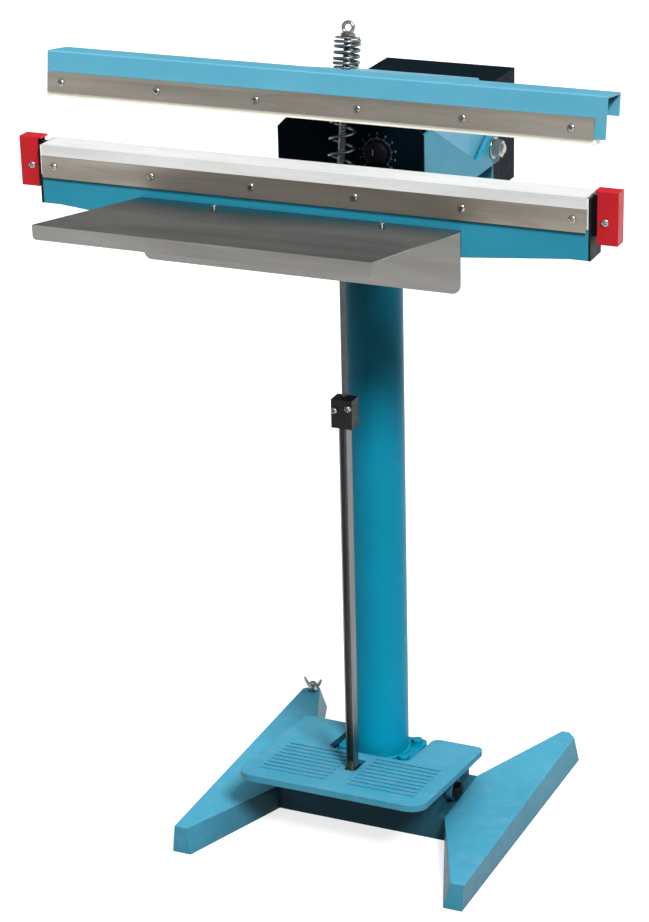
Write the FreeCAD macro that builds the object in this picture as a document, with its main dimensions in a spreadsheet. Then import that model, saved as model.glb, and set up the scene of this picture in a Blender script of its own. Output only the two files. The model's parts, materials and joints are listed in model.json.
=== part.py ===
import FreeCAD, Part
import math
import os
import re
import Sketcher

# Foot-operated impulse heat sealer. X runs along the jaws, +Y to the rear, +Z up.
# The origin is on the floor, on the axis of the column.
# The jaws are drawn open; the parts of the upper jaw are drawn from their hinge.

doc = FreeCAD.newDocument("impulse_heat_sealer")

SIZES = {
    # feet and crossbar
    "foot_front": 210, "foot_rear": 204, "foot_heel": 186, "foot_outer": 198, "toe_outer": 188,
    "toe_inner": 164, "foot_high": 32, "draft": 7, "casting_wall": 8,
    "cross_half": 110, "cross_front": 66, "cross_rear": 46, "cross_high": 58, "cross_top_half": 100,
    "cross_web_half": 20,
    "boss_half": 50, "boss_deep": 36, "boss_high": 68,
    "screw_place": 176, "screw_back": 186,
    # column and its flanges
    "column_radius": 35, "column_wall": 3, "column_top": 772, "flange_thick": 8,
    "bolt_across": 40, "bolt_along": 23, "bolt_radius": 4, "bolt_head": 7, "bolt_head_high": 6,
    # head bracket
    "bracket_half": 78, "bracket_wall": 5, "bracket_thick": 6, "bracket_rear": 212,
    "cheek_front": 30, "cheek_top": 872, "lug_radius": 22, "rod_slot_half": 5,
    # hinge of the upper jaw
    "pivot_back": 190, "pivot_up": 801, "open_angle": 8, "pivot_radius": 6, "bush_radius": 9,
    # lower jaw
    "jaw_half": 322, "strip_half": 320, "face_front": 190, "strip_thick": 1.7, "sheet": 2.5,
    "jaw_front": 187, "jaw_back": 152, "jaw_end_low": 800, "jaw_low": 786, "jaw_level": 834,
    "crown_inner": 150, "crown_outer": 300,
    "bar_front": 188, "bar_back": 154, "bar_top": 868, "film": 0.3, "ribbon_half": 3,
    "strip_low": 831, "strip_high": 25, "strip_screw_up": 844.5, "screw_pitch": 122,
    "screw_radius": 2, "screw_head": 4, "screw_head_high": 2.2, "screw_long": 12,
    "fit": 0.05,
    # end caps
    "cap_inner": 329, "cap_outer": 352, "cap_front": 181, "cap_back": 163, "cap_low": 817,
    "cap_top": 874, "cap_wall": 2.5, "cap_reach": 325.5, "cap_tab": 15, "block_outer": 342,
    "end_plate": 2.5,
    # tray
    "tray_half": 189, "tray_sheet": 1.5, "tray_back": 187, "tray_back_up": 819, "tray_front": 428,
    "tray_front_up": 857, "tray_lip": 16, "tray_low": 748, "tray_left": 8,
    "tray_screw_across": 55, "tray_screw_up": 761, "stud_across": 98, "stud_right": 9,
    "stud_front": 225, "stud_high": 12, "stud_radius": 3,
    # upper jaw, from its hinge
    "up_left": 316, "up_right": 334, "up_front": 378, "up_back": 333, "up_low": 74,
    "up_top": 119, "up_back_low": 94,
    "up_strip_half": 318, "up_strip_right": 4, "up_strip_low": 73, "up_strip_high": 23, "up_screw_up": 84,
    "up_screw_pitch": 119, "silicone_low": 67.9, "silicone_front": 377,
    "silicone_back": 357, "holder_back": 353.5, "holder_low": 75,
    "arm_half": 70, "arm_wall": 4, "arm_front_up": 117, "arm_rear": 40, "arm_rear_up": 86,
    "arm_step": 213, "rod_hole_back": 274, "rod_hole_radius": 7,
    # rods and springs
    "rod_front": 89, "eye_front": 101, "eye_up": 768, "rod_lean": 11.12, "eye_radius": 9, "eye_hole": 4.6,
    "eye_rod_radius": 4, "eye_rod_long": 224.5,
    "rock_along": 181.4, "rock_radius": 4.8, "rock_half": 4.6, "seat_along": 186.4, "seat_thick": 2,
    "seat_radius": 14, "spring_radius": 13.5, "spring_wire": 1.7, "press_spring_long": 27,
    "press_turns": 5, "return_start": 23.5, "return_long": 154, "return_turns": 10,
    "nut_radius": 9, "nut_high": 4, "ring_radius": 8, "ring_hole": 3.8, "ring_half": 2.5,
    "pull_rod_radius": 3, "fork_low": 745, "fork_top": 777,
    "fork_half": 9, "fork_deep": 7, "fork_gap": 4.5, "fork_pin_radius": 4,
    "clamp_low": 537, "clamp_top": 572, "clamp_half": 13, "clamp_deep": 10,
    "pull_bar_half": 5.5, "pull_bar_deep": 6, "pull_bar_wall": 1.5, "pull_bar_low": 58,
    "pull_bar_top": 545, "rod_pin_radius": 2.5, "pin_slot": 2.1, "pin_rise": 16.6, "pin_play": 0.2,
    # pedal, from its shaft
    "pedal_front_of_column": 26, "pedal_up": 50, "pedal_tilt": 7.35, "pedal_half": 121,
    "pedal_reach": 148, "pedal_rear": 67, "pedal_top": 33, "pedal_thick": 6, "pedal_lip": 8,
    "notch_half": 54, "notch_front": 20, "pedal_wall": 5, "shaft_radius": 5,
    "pedal_front_round": 22, "pedal_rear_round": 10,
    "pedal_lug": 8, "pedal_lug_inner": 101, "pedal_lug_radius": 13, "pin_forward": 64.5,
    "pin_up": 8.4, "pin_lug_inner": 7, "pin_lug_outer": 14, "pin_lug_radius": 10,
    "pin_plate_slot": 7, "rib_pitch": 11, "rib_wide": 4, "rib_high": 1.5,
    # control panel and rear cover
    "panel_left": 101, "panel_thick": 2, "panel_top": 881, "panel_low": 786, "panel_cut": 12,
    "board_half": 60, "board_high": 76,
    "knob_across": 22, "knob_up": 848, "knob_radius": 13, "knob_long": 14, "knob_shaft": 3,
    "switch_across": 45, "switch_up": 816, "switch_rim": 1.5, "rocker_tilt": 7,
    "rocker_pin": 1.6, "lamp_across": 5, "lamp_up": 812, "lamp_radius": 5,
    "cover_left": 100, "cover_right": 68, "cover_front": 218, "cover_back": 290, "cover_low": 736,
    "cover_top": 874, "cover_wall": 1.5, "ear_left": 122, "ear_top": 857,
    "fitting_radius": 6.4, "gland_across": 60, "fuse_across": 44, "fitting_up": 21,
    "fitting_long": 12, "fitting_deep": 6, "corner_inset": 8,
    # transformer
    "core_left": 61, "core_right": 29, "core_high": 92, "core_front": 18, "core_back": 12,
    "limb": 18, "window_low": 22, "window_high": 72, "coil_out": 8, "coil_gap": 0.3,
}
FUNCTIONS = ("cos", "sin", "tan")

sheet = doc.addObject("Spreadsheet::Sheet", "Sizes")
for row, (alias, value) in enumerate(SIZES.items(), start=1):
    sheet.set(f"A{row}", alias)
    sheet.set(f"B{row}", str(value))
    sheet.setAlias(f"B{row}", alias)
doc.recompute()


def linked(expression):
    """The expression with each size's name pointing at its cell of the spreadsheet."""
    word = lambda found: found.group() if found.group() in FUNCTIONS else "Sizes." + found.group()
    return re.sub(r"[a-z][a-z_]+", word, str(expression))


def value(expression):
    """The number that an expression of sizes has now."""
    return float(sheet.evalExpression(linked(expression)))


PARTS = []


def piece(obj, name):
    """Names a sub-part and lists it for export."""
    obj.Label = name
    PARTS.append(obj)
    return obj


def new_body(name):
    body = doc.addObject("PartDesign::Body", name + "_body")
    body.AllowCompound = True
    return piece(body, name)


def new_sketch(body, plane, level):
    """A sketch on one of the body's own planes, moved along its normal to the given level."""
    sketch = body.newObject("Sketcher::SketchObject", body.Label + "_sketch")
    origin = [o for o in body.Origin.OriginFeatures if o.Role == plane + "_Plane"][0]
    sketch.AttachmentSupport = [(origin, "")]
    sketch.MapMode = "FlatFace"
    sketch.setExpression("AttachmentOffset.Base.z", linked(level))
    return sketch


def place_point(sketch, geometry, point, place):
    """Ties a point of the sketch to its two sizes, measured from the sketch's origin."""
    for kind, axis, size in (("DistanceX", -2, place[0]), ("DistanceY", -1, place[1])):
        if abs(value(size)) < 1e-9:
            sketch.addConstraint(Sketcher.Constraint("PointOnObject", geometry, point, axis))
            continue
        index = sketch.addConstraint(
            Sketcher.Constraint(kind, -1, 1, geometry, point, value(size)))
        sketch.setExpression(f"Constraints[{index}]", linked(size))


def draw_polygon(sketch, corners):
    spots = [FreeCAD.Vector(value(x), value(y), 0) for x, y in corners]
    first = sketch.GeometryCount
    for start, end in zip(spots, spots[1:] + spots[:1]):
        sketch.addGeometry(Part.LineSegment(start, end), False)
    count = len(corners)
    for step in range(count):
        line = first + step
        following = first + (step + 1) % count
        sketch.addConstraint(Sketcher.Constraint("Coincident", line, 2, following, 1))
    for step, corner in enumerate(corners):
        place_point(sketch, first + step, 1, corner)


def draw_circle(sketch, centre, radius):
    middle = FreeCAD.Vector(value(centre[0]), value(centre[1]), 0)
    circle = sketch.addGeometry(
        Part.Circle(middle, FreeCAD.Vector(0, 0, 1), value(radius)), False)
    place_point(sketch, circle, 3, centre)
    index = sketch.addConstraint(Sketcher.Constraint("Radius", circle, value(radius)))
    sketch.setExpression(f"Constraints[{index}]", linked(radius))


def box_corners(left, right, low, high):
    return [(left, low), (right, low), (right, high), (left, high)]


def hexagon(across, up, radius):
    half = f"({radius}) * 0.5"
    tall = f"({radius}) * 0.866"
    return [(f"({across}) + ({radius})", up), (f"({across}) + {half}", f"({up}) + {tall}"),
            (f"({across}) - {half}", f"({up}) + {tall}"), (f"({across}) - ({radius})", up),
            (f"({across}) - {half}", f"({up}) - {tall}"), (f"({across}) + {half}", f"({up}) - {tall}")]


def layer(body, plane, low, high, polygons=(), circles=(), cut=False):
    """Adds or cuts the drawn outlines between two levels of the axis normal to the plane."""
    level = f"-({high})" if plane == "XZ" else low
    sketch = new_sketch(body, plane, level)
    for corners in polygons:
        draw_polygon(sketch, corners)
    for centre, radius in circles:
        draw_circle(sketch, centre, radius)
    before = 0.0
    if cut:
        doc.recompute()
        before = body.Shape.Volume
    kind = "PartDesign::Pocket" if cut else "PartDesign::Pad"
    feature = body.newObject(kind, body.Label + ("_cut" if cut else "_pad"))
    feature.Profile = sketch
    feature.Reversed = cut
    feature.setExpression("Length", linked(f"({high}) - ({low})"))
    if cut:
        doc.recompute()
        if body.Shape.Volume > before - 1e-3:
            raise RuntimeError(body.Label + ": a cut removed nothing")
    return feature


def round_edges(body, radius, wanted):
    """Rounds the edges of the body for which wanted(edge) holds."""
    doc.recompute()
    tip = body.Tip
    names = [f"Edge{n}" for n, edge in enumerate(tip.Shape.Edges, start=1) if wanted(edge)]
    fillet = body.newObject("PartDesign::Fillet", body.Label + "_fillet")
    fillet.Base = (tip, names)
    fillet.setExpression("Radius", linked(radius))
    return fillet


def runs_along(edge, axis):
    """True for a straight edge that is parallel to the axis."""
    if not isinstance(edge.Curve, Part.Line):
        return False
    return abs(edge.Curve.Direction.dot(axis)) > 0.999


ALONG_X = FreeCAD.Vector(1, 0, 0)
ALONG_Z = FreeCAD.Vector(0, 0, 1)


def hang_on_hinge(obj):
    """Puts a part drawn from the hinge of the upper jaw at the hinge, turned to the open jaw."""
    obj.Placement.Rotation = FreeCAD.Rotation(FreeCAD.Vector(-1, 0, 0), SIZES["open_angle"])
    obj.setExpression("Placement.Base.y", linked("pivot_back"))
    obj.setExpression("Placement.Base.z", linked("pivot_up"))
    obj.setExpression("Placement.Rotation.Angle", linked("open_angle"))


def hang_on_eye(obj):
    """Puts a part drawn along the spring rod at the eye of the rod, leaning with it."""
    obj.Placement.Rotation = FreeCAD.Rotation(FreeCAD.Vector(-1, 0, 0), SIZES["rod_lean"])
    obj.setExpression("Placement.Base.y", linked("-eye_front"))
    obj.setExpression("Placement.Base.z", linked("eye_up"))
    obj.setExpression("Placement.Rotation.Angle", linked("rod_lean"))


def hang_on_shaft(obj):
    """Puts a part drawn from the pedal's shaft at the shaft, tilted as the free pedal is."""
    obj.Placement.Rotation = FreeCAD.Rotation(FreeCAD.Vector(-1, 0, 0), SIZES["pedal_tilt"])
    obj.setExpression("Placement.Base.y", linked("-pedal_front_of_column"))
    obj.setExpression("Placement.Base.z", linked("pedal_up"))
    obj.setExpression("Placement.Rotation.Angle", linked("pedal_tilt"))


def row(half_steps, pitch, up):
    """Places of a row of six screws along X at one height."""
    return [(f"{step} * {pitch} / 2", up) for step in half_steps]


SIX = (-5, -3, -1, 1, 3, 5)
BOLT_PLACES = [(f"{x} * bolt_across", f"{y} * bolt_along") for x in (-1, 1) for y in (-1, 1)]
TRAY_SCREWS = [(f"{x} * tray_screw_across - tray_left", "tray_screw_up") for x in (-1, 1)]


# ---- stand ---------------------------------------------------------------------------------

def make_foot(name, side):
    """A cast foot: drafted sides, narrow toe and heel, and a wide middle against the crossbar."""
    body = new_body(name)

    def outline(level, inset):
        sketch = new_sketch(body, "XY", level)
        draw_polygon(sketch, [
            (f"{side} * (toe_inner + {inset})", f"-(foot_front - {inset})"),
            (f"{side} * toe_outer", f"-(foot_front - {inset})"),
            (f"{side} * (foot_outer - {inset})", "foot_heel"),
            (f"{side} * (toe_outer - {inset})", f"foot_rear - {inset}"),
            (f"{side} * (toe_inner + {inset})", f"foot_rear - {inset}"),
            (f"{side} * cross_half", "cross_rear"),
            (f"{side} * cross_half", "-cross_front")])
        return sketch

    loft = body.newObject("PartDesign::AdditiveLoft", name + "_loft")
    bottom = outline("0", "0")
    loft.Profile = bottom
    loft.Sections = [outline("foot_high", "draft")]
    loft.Ruled = True
    layer(body, "XY", "0", "foot_high - casting_wall", cut=True, polygons=[[
        (f"{side} * (toe_inner + casting_wall)", "-(foot_front - 5 * casting_wall)"),
        (f"{side} * (toe_outer - casting_wall)", "-(foot_front - 5 * casting_wall)"),
        (f"{side} * (foot_outer - 2 * casting_wall)", "foot_heel - 5 * casting_wall"),
        (f"{side} * (toe_inner - casting_wall)", "foot_heel - 5 * casting_wall"),
        (f"{side} * (cross_half + casting_wall)", "cross_rear - casting_wall"),
        (f"{side} * (cross_half + casting_wall)", "-(cross_front - casting_wall)")]])
    return body


def make_feet():
    make_foot("right_foot", 1)
    left = make_foot("left_foot", -1)
    layer(left, "XY", "0", "foot_high", cut=True,
          circles=[(("-screw_place", "screw_back"), "bolt_radius + fit")])


def make_crossbar():
    """The cast bridge between the feet, bored for the pedal's shaft, with the column's seat."""
    body = new_body("crossbar")
    layer(body, "XY", "0", "foot_high",
          [box_corners("-cross_half", "cross_half", "-cross_front", "cross_rear")])
    layer(body, "XY", "foot_high", "cross_high",
          [box_corners("-cross_top_half", "cross_top_half", "-cross_front", "cross_rear")])
    layer(body, "XY", "cross_high", "boss_high",
          [box_corners("-boss_half", "boss_half", "-boss_deep", "boss_deep")])
    for side in (-1, 1):
        ends = (f"{side} * cross_web_half", f"{side} * (cross_top_half - casting_wall)")
        layer(body, "XY", "0", "foot_high", cut=True, polygons=[box_corners(
            ends[0], ends[1], "-(cross_front - casting_wall)", "cross_rear - casting_wall")])
    layer(body, "YZ", "-cross_half", "cross_half", cut=True,
          circles=[(("-pedal_front_of_column", "pedal_up"), "shaft_radius + fit")])
    layer(body, "XY", "foot_high", "boss_high", cut=True,
          circles=[(place, "bolt_radius + fit") for place in BOLT_PLACES])
    front = -SIZES["cross_front"]
    top = SIZES["cross_high"]
    doc.recompute()
    tip = body.Tip
    edges = [f"Edge{n}" for n, edge in enumerate(tip.Shape.Edges, start=1)
             if runs_along(edge, ALONG_X) and abs(edge.CenterOfMass.y - front) < 0.1
             and abs(edge.CenterOfMass.z - top) < 0.1]
    chamfer = body.newObject("PartDesign::Chamfer", "crossbar_chamfer")
    chamfer.Base = (tip, edges)
    chamfer.setExpression("Size", linked("casting_wall"))


def make_column():
    """The round column with a flange at each end and the eight bolts that hold them."""
    holes = [(place, "bolt_radius + fit") for place in BOLT_PLACES]
    flanges = new_body("column_flanges")
    for low, high in (("boss_high", "boss_high + flange_thick"),
                      ("column_top", "column_top + flange_thick")):
        layer(flanges, "XY", low, high,
              [box_corners("-boss_half", "boss_half", "-boss_deep", "boss_deep")], holes)
    round_edges(flanges, "flange_thick", lambda edge: runs_along(edge, ALONG_Z))

    column = new_body("column")
    layer(column, "XY", "boss_high + flange_thick", "column_top",
          circles=[(("0", "0"), "column_radius"), (("0", "0"), "column_radius - column_wall")])

    bolts = new_body("flange_bolts")
    plate_top = "column_top + flange_thick + bracket_thick"
    for low, high in (("pedal_up + shaft_radius + 2", "boss_high + flange_thick"),
                      ("column_top", plate_top)):
        layer(bolts, "XY", low, high, circles=[(place, "bolt_radius") for place in BOLT_PLACES])
        layer(bolts, "XY", high, high + " + bolt_head_high",
              [hexagon(x, y, "bolt_head") for x, y in BOLT_PLACES])


def make_levelling_screw():
    """A wing screw through the heel of the left foot."""
    screw = new_body("levelling_screw")
    middle = ("-screw_place", "screw_back")
    layer(screw, "XY", "0", "foot_high + 12", circles=[(middle, "bolt_radius")])
    layer(screw, "XZ", "screw_back - 1.5", "screw_back + 1.5", [[
        ("-screw_place - 5", "foot_high + 6"), ("-screw_place + 5", "foot_high + 6"),
        ("-screw_place + 13", "foot_high + 19"), ("-screw_place + 7", "foot_high + 21"),
        ("-screw_place", "foot_high + 13"), ("-screw_place - 7", "foot_high + 21"),
        ("-screw_place - 13", "foot_high + 19")]])


# ---- pedal ---------------------------------------------------------------------------------

def pedal_outline(inset):
    return [(f"-(pedal_half - {inset})", f"-(pedal_reach - {inset})"),
            (f"pedal_half - {inset}", f"-(pedal_reach - {inset})"),
            (f"pedal_half - {inset}", f"pedal_rear - {inset}"),
            (f"notch_half + {inset}", f"pedal_rear - {inset}"),
            (f"notch_half + {inset}", f"-(notch_front + {inset})"),
            (f"-(notch_half + {inset})", f"-(notch_front + {inset})"),
            (f"-(notch_half + {inset})", f"pedal_rear - {inset}"),
            (f"-(pedal_half - {inset})", f"pedal_rear - {inset}")]


def make_pedal():
    """A cast pedal: a ribbed plate with a turned-down lip, notched round the column."""
    body = new_body("pedal")
    layer(body, "XY", "pedal_top - pedal_lip", "pedal_top", [pedal_outline("0")])
    reach = SIZES["pedal_reach"]
    round_edges(body, "pedal_front_round", lambda edge: runs_along(edge, ALONG_Z)
                and edge.CenterOfMass.y < 1 - reach)
    round_edges(body, "pedal_rear_round", lambda edge: runs_along(edge, ALONG_Z)
                and edge.CenterOfMass.y > 1 - reach)
    inside = pedal_outline("pedal_wall")
    left, right, front = inside[0][0], inside[1][0], inside[0][1]
    inside[:2] = [(left, front + " + 2 * pedal_wall"), (left + " + 2 * pedal_wall", front),
                  (right + " - 2 * pedal_wall", front), (right, front + " + 2 * pedal_wall")]
    layer(body, "XY", "pedal_top - pedal_lip", "pedal_top - pedal_thick", cut=True,
          polygons=[inside])
    under = "pedal_top - pedal_thick"
    for side in (-1, 1):
        inner = f"{side} * pedal_lug_inner"
        outer = f"{side} * (pedal_lug_inner + pedal_lug)"
        low, high = (inner, outer) if side > 0 else (outer, inner)
        layer(body, "YZ", low, high, circles=[(("0", "0"), "pedal_lug_radius")])
        layer(body, "YZ", low, high,
              [box_corners("-pedal_lug_radius", "pedal_lug_radius", "0", under)])
        names = ("pin_lug_inner", "pin_lug_outer") if side > 0 else ("-pin_lug_outer", "-pin_lug_inner")
        layer(body, "YZ", names[0], names[1],
              circles=[(("-pin_forward", "pin_up"), "pin_lug_radius")])
        layer(body, "YZ", names[0], names[1], [box_corners(
            "-pin_forward - pin_lug_radius", "-pin_forward + pin_lug_radius", "pin_up", under)])
    layer(body, "YZ", "-pedal_half", "pedal_half", cut=True,
          circles=[(("0", "0"), "shaft_radius + fit")])
    layer(body, "YZ", "-pin_lug_outer", "pin_lug_outer", cut=True,
          circles=[(("-pin_forward", "pin_up"), "rod_pin_radius")])
    layer(body, "XY", under, "pedal_top", cut=True, polygons=[box_corners(
        "-pin_plate_slot", "pin_plate_slot", "-pin_forward - 15", "-pin_forward + 24")])
    ribs = []
    for step in range(9):
        low = f"-pedal_reach + 28 + {step} * rib_pitch"
        for side in (-1, 1):
            ends = sorted((side * 16, side * 100))
            ribs.append(box_corners(str(ends[0]), str(ends[1]), low, low + " + rib_wide"))
    layer(body, "XY", "pedal_top", "pedal_top + rib_high", ribs)
    hang_on_shaft(body)


def make_pedal_fittings():
    shaft = piece(doc.addObject("Part::Cylinder", "pedal_shaft_solid"), "pedal_shaft")
    shaft.setExpression("Radius", linked("shaft_radius"))
    shaft.setExpression("Height", linked("2 * (pedal_lug_inner + pedal_lug + 10)"))
    shaft.Placement.Rotation = FreeCAD.Rotation(FreeCAD.Vector(0, 1, 0), 90)
    shaft.setExpression("Placement.Base.x", linked("-(pedal_lug_inner + pedal_lug + 10)"))
    shaft.setExpression("Placement.Base.y", linked("-pedal_front_of_column"))
    shaft.setExpression("Placement.Base.z", linked("pedal_up"))

    nuts = new_body("shaft_nuts")
    middle = ("-pedal_front_of_column", "pedal_up")
    outer = "pedal_lug_inner + pedal_lug + 0.3"
    for low, high in ((outer, outer + " + 8"), (f"-({outer} + 8)", f"-({outer})")):
        layer(nuts, "YZ", low, high, [hexagon(middle[0], middle[1], "nut_radius + 1")],
              [(middle, "shaft_radius + fit")])

    pin = new_body("rod_pin")
    layer(pin, "YZ", "-(pin_lug_outer + 3)", "pin_lug_outer + 3",
          circles=[(("-pin_forward", "pin_up"), "rod_pin_radius")])
    hang_on_shaft(pin)


# ---- pull rod ------------------------------------------------------------------------------

def make_pull_rod():
    """The channel bar from the pedal, the clamp block, the thin rod and its fork."""
    bar = new_body("pull_bar")
    back = "-(rod_front - pull_bar_deep)"
    front = "-(rod_front + pull_bar_deep)"
    layer(bar, "XY", "pull_bar_low", "pull_bar_top", [[
        ("-pull_bar_half", front), ("-pull_bar_half + pull_bar_wall", front),
        ("-pull_bar_half + pull_bar_wall", back + " - pull_bar_wall"),
        ("pull_bar_half - pull_bar_wall", back + " - pull_bar_wall"),
        ("pull_bar_half - pull_bar_wall", front), ("pull_bar_half", front),
        ("pull_bar_half", back), ("-pull_bar_half", back)]])
    pin_level = "pedal_up + pin_rise"
    slot = "rod_pin_radius + pin_play"
    layer(bar, "YZ", "-pull_bar_half", "pull_bar_half", cut=True,
          polygons=[box_corners("-rod_front - pin_slot", "-rod_front + pin_slot",
                                f"{pin_level} - ({slot})", f"{pin_level} + {slot}")])
    for shift in ("- pin_slot", "+ pin_slot"):
        layer(bar, "YZ", "-pull_bar_half", "pull_bar_half", cut=True,
              circles=[((f"-rod_front {shift}", pin_level), slot)])

    block = new_body("rod_clamp")
    layer(block, "XY", "pull_bar_top", "clamp_top", [box_corners(
        "-clamp_half", "clamp_half", "-(rod_front + clamp_deep)", "-(rod_front - clamp_deep)")],
        [(("0", "-rod_front"), "pull_rod_radius + fit")])
    layer(block, "XY", "clamp_low", "pull_bar_top", [[
        ("-clamp_half", "-(rod_front + clamp_deep)"), ("clamp_half", "-(rod_front + clamp_deep)"),
        ("clamp_half", "-(rod_front - clamp_deep)"), ("-clamp_half", "-(rod_front - clamp_deep)")]])
    layer(block, "XY", "clamp_low", "pull_bar_top", cut=True, polygons=[box_corners(
        "-(pull_bar_half + fit)", "pull_bar_half + fit",
        "-(rod_front + pull_bar_deep + fit)", "-(rod_front - pull_bar_deep - fit)")])
    holes = [(("-clamp_half / 2 - 2", "clamp_top - 13"), "bolt_radius / 2 + fit"),
             (("clamp_half / 2 + 2", "clamp_top - 9"), "bolt_radius / 2 + fit")]
    layer(block, "XZ", "-(rod_front + clamp_deep)", "-(rod_front - clamp_deep)", cut=True,
          circles=holes)

    screws = new_body("clamp_screws")
    layer(screws, "XZ", "-(rod_front + clamp_deep)", "-(rod_front - clamp_deep)",
          circles=[(place, "bolt_radius / 2") for place, _ in holes])
    layer(screws, "XZ", "-(rod_front + clamp_deep + 4)", "-(rod_front + clamp_deep)",
          circles=[(place, "bolt_radius") for place, _ in holes])

    rod = new_body("pull_rod")
    layer(rod, "XY", "pull_bar_top", "fork_low", circles=[(("0", "-rod_front"), "pull_rod_radius")])

    fork = new_body("rod_fork")
    foot = "eye_up - eye_radius - 3"
    layer(fork, "XY", "fork_low", foot, [box_corners(
        "-fork_half", "fork_half", "-eye_front - fork_deep", "-rod_front + fork_deep")])
    layer(fork, "XY", foot, "fork_top", [box_corners(
        "-fork_half", "fork_half", "-eye_front - fork_deep", "-eye_front + fork_deep")])
    layer(fork, "XY", foot, "fork_top", cut=True, polygons=[box_corners(
        "-fork_gap", "fork_gap", "-eye_front - fork_deep", "-eye_front + fork_deep")])
    layer(fork, "YZ", "-fork_half", "fork_half", cut=True,
          circles=[(("-eye_front", "eye_up"), "fork_pin_radius")])

    pin = new_body("fork_pin")
    layer(pin, "YZ", "-(fork_half + 1.5)", "fork_half + 1.5",
          circles=[(("-eye_front", "eye_up"), "fork_pin_radius")])


def make_coil(name, start, long, turns):
    """A coil spring of round wire along the spring rod."""
    helix = doc.addObject("Part::Helix", name + "_line")
    helix.setExpression("Radius", linked("spring_radius"))
    helix.setExpression("Height", linked(long))
    helix.setExpression("Pitch", linked(f"({long}) / ({turns})"))
    helix.setExpression("Placement.Base.z", linked(start))
    wire = doc.addObject("Part::Circle", name + "_wire")
    wire.setExpression("Radius", linked("spring_wire"))
    wire.Placement.Rotation = FreeCAD.Rotation(FreeCAD.Vector(1, 0, 0), 90)
    wire.setExpression("Placement.Base.x", linked("spring_radius"))
    wire.setExpression("Placement.Base.z", linked(start))
    sweep = piece(doc.addObject("Part::Sweep", name + "_solid"), name)
    sweep.Sections = [wire]
    sweep.Spine = helix
    sweep.Solid = True
    sweep.Frenet = True
    hang_on_eye(sweep)


def make_spring_rod():
    """The rod from the fork's eye through the arm, its seats and springs, and a ring nut on top."""
    rod = new_body("eye_rod")
    layer(rod, "YZ", "-fork_gap + 0.2", "fork_gap - 0.2", circles=[(("0", "0"), "eye_radius")])
    layer(rod, "XY", "eye_radius - 2", "eye_rod_long", circles=[(("0", "0"), "eye_rod_radius")])
    layer(rod, "YZ", "-fork_gap", "fork_gap", cut=True, circles=[(("0", "0"), "eye_hole")])
    layer(rod, "YZ", "-rock_half", "rock_half", circles=[(("0", "rock_along"), "rock_radius")])
    hang_on_eye(rod)

    seats = new_body("spring_seats")
    upper = "seat_along + seat_thick + press_spring_long + 2 * spring_wire"
    for start in ("seat_along", upper):
        layer(seats, "XY", start, start + " + seat_thick", circles=[
            (("0", "0"), "seat_radius"), (("0", "0"), "eye_rod_radius + fit")])
    hang_on_eye(seats)

    nut = new_body("pressure_nut")
    nut_low = upper + " + seat_thick"
    ring_middle = ("0", nut_low + " + nut_high + ring_radius - 2")
    layer(nut, "XY", nut_low, nut_low + " + nut_high", [hexagon("0", "0", "nut_radius")])
    layer(nut, "XZ", "-ring_half", "ring_half", circles=[(ring_middle, "ring_radius")])
    layer(nut, "XZ", "-ring_half", "ring_half", cut=True, circles=[(ring_middle, "ring_hole")])
    layer(nut, "XY", nut_low, "eye_rod_long + fit", cut=True,
          circles=[(("0", "0"), "eye_rod_radius + fit")])
    hang_on_eye(nut)
    make_coil("pressure_spring", "seat_along + seat_thick + spring_wire",
              "press_spring_long", "press_turns")
    make_coil("return_spring", "return_start", "return_long", "return_turns")


# ---- head ----------------------------------------------------------------------------------

def make_head_bracket():
    """A welded U bracket: base plate, two cheeks with the hinge lugs, and end flanges."""
    body = new_body("head_bracket")
    base = "column_top + flange_thick"
    top = base + " + bracket_thick"
    layer(body, "XY", base, top,
          [box_corners("-bracket_half", "bracket_half", "-jaw_front", "bracket_rear")])
    cheek = [("-cheek_front", base), ("-cheek_front", "cheek_top"), ("-cheek_front + 26", "cheek_top"),
             ("pivot_back - 50", "pivot_up - 4"), ("pivot_back - 16", "pivot_up + 15"),
             ("pivot_back", "pivot_up + 5"), ("bracket_rear", "pivot_up"), ("bracket_rear", base)]
    for low, high in (("bracket_half - bracket_wall", "bracket_half"),
                      ("-bracket_half", "-bracket_half + bracket_wall")):
        layer(body, "YZ", low, high, [cheek])
        layer(body, "YZ", low, high, circles=[(("pivot_back", "pivot_up"), "lug_radius - 2")])
    layer(body, "XZ", "-jaw_front", "-jaw_front + bracket_thick",
          [box_corners("-bracket_half", "bracket_half", base + " - 28", base)])
    layer(body, "XZ", "bracket_rear", "cover_front",
          [box_corners("-bracket_half", "cover_right", base + " - 38", top)])
    layer(body, "XY", base, top, cut=True, polygons=[box_corners(
        "-rod_slot_half", "rod_slot_half", "-eye_front - 4.5", "-eye_front + 11")])
    layer(body, "YZ", "-bracket_half", "bracket_half", cut=True,
          circles=[(("pivot_back", "pivot_up"), "pivot_radius + fit")])
    layer(body, "XY", base, top, cut=True,
          circles=[(place, "bolt_radius + fit") for place in BOLT_PLACES])
    layer(body, "XZ", "-jaw_front", "-jaw_front + bracket_thick", cut=True, circles=[
        (place, "stud_radius + fit") for place in TRAY_SCREWS])


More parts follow.
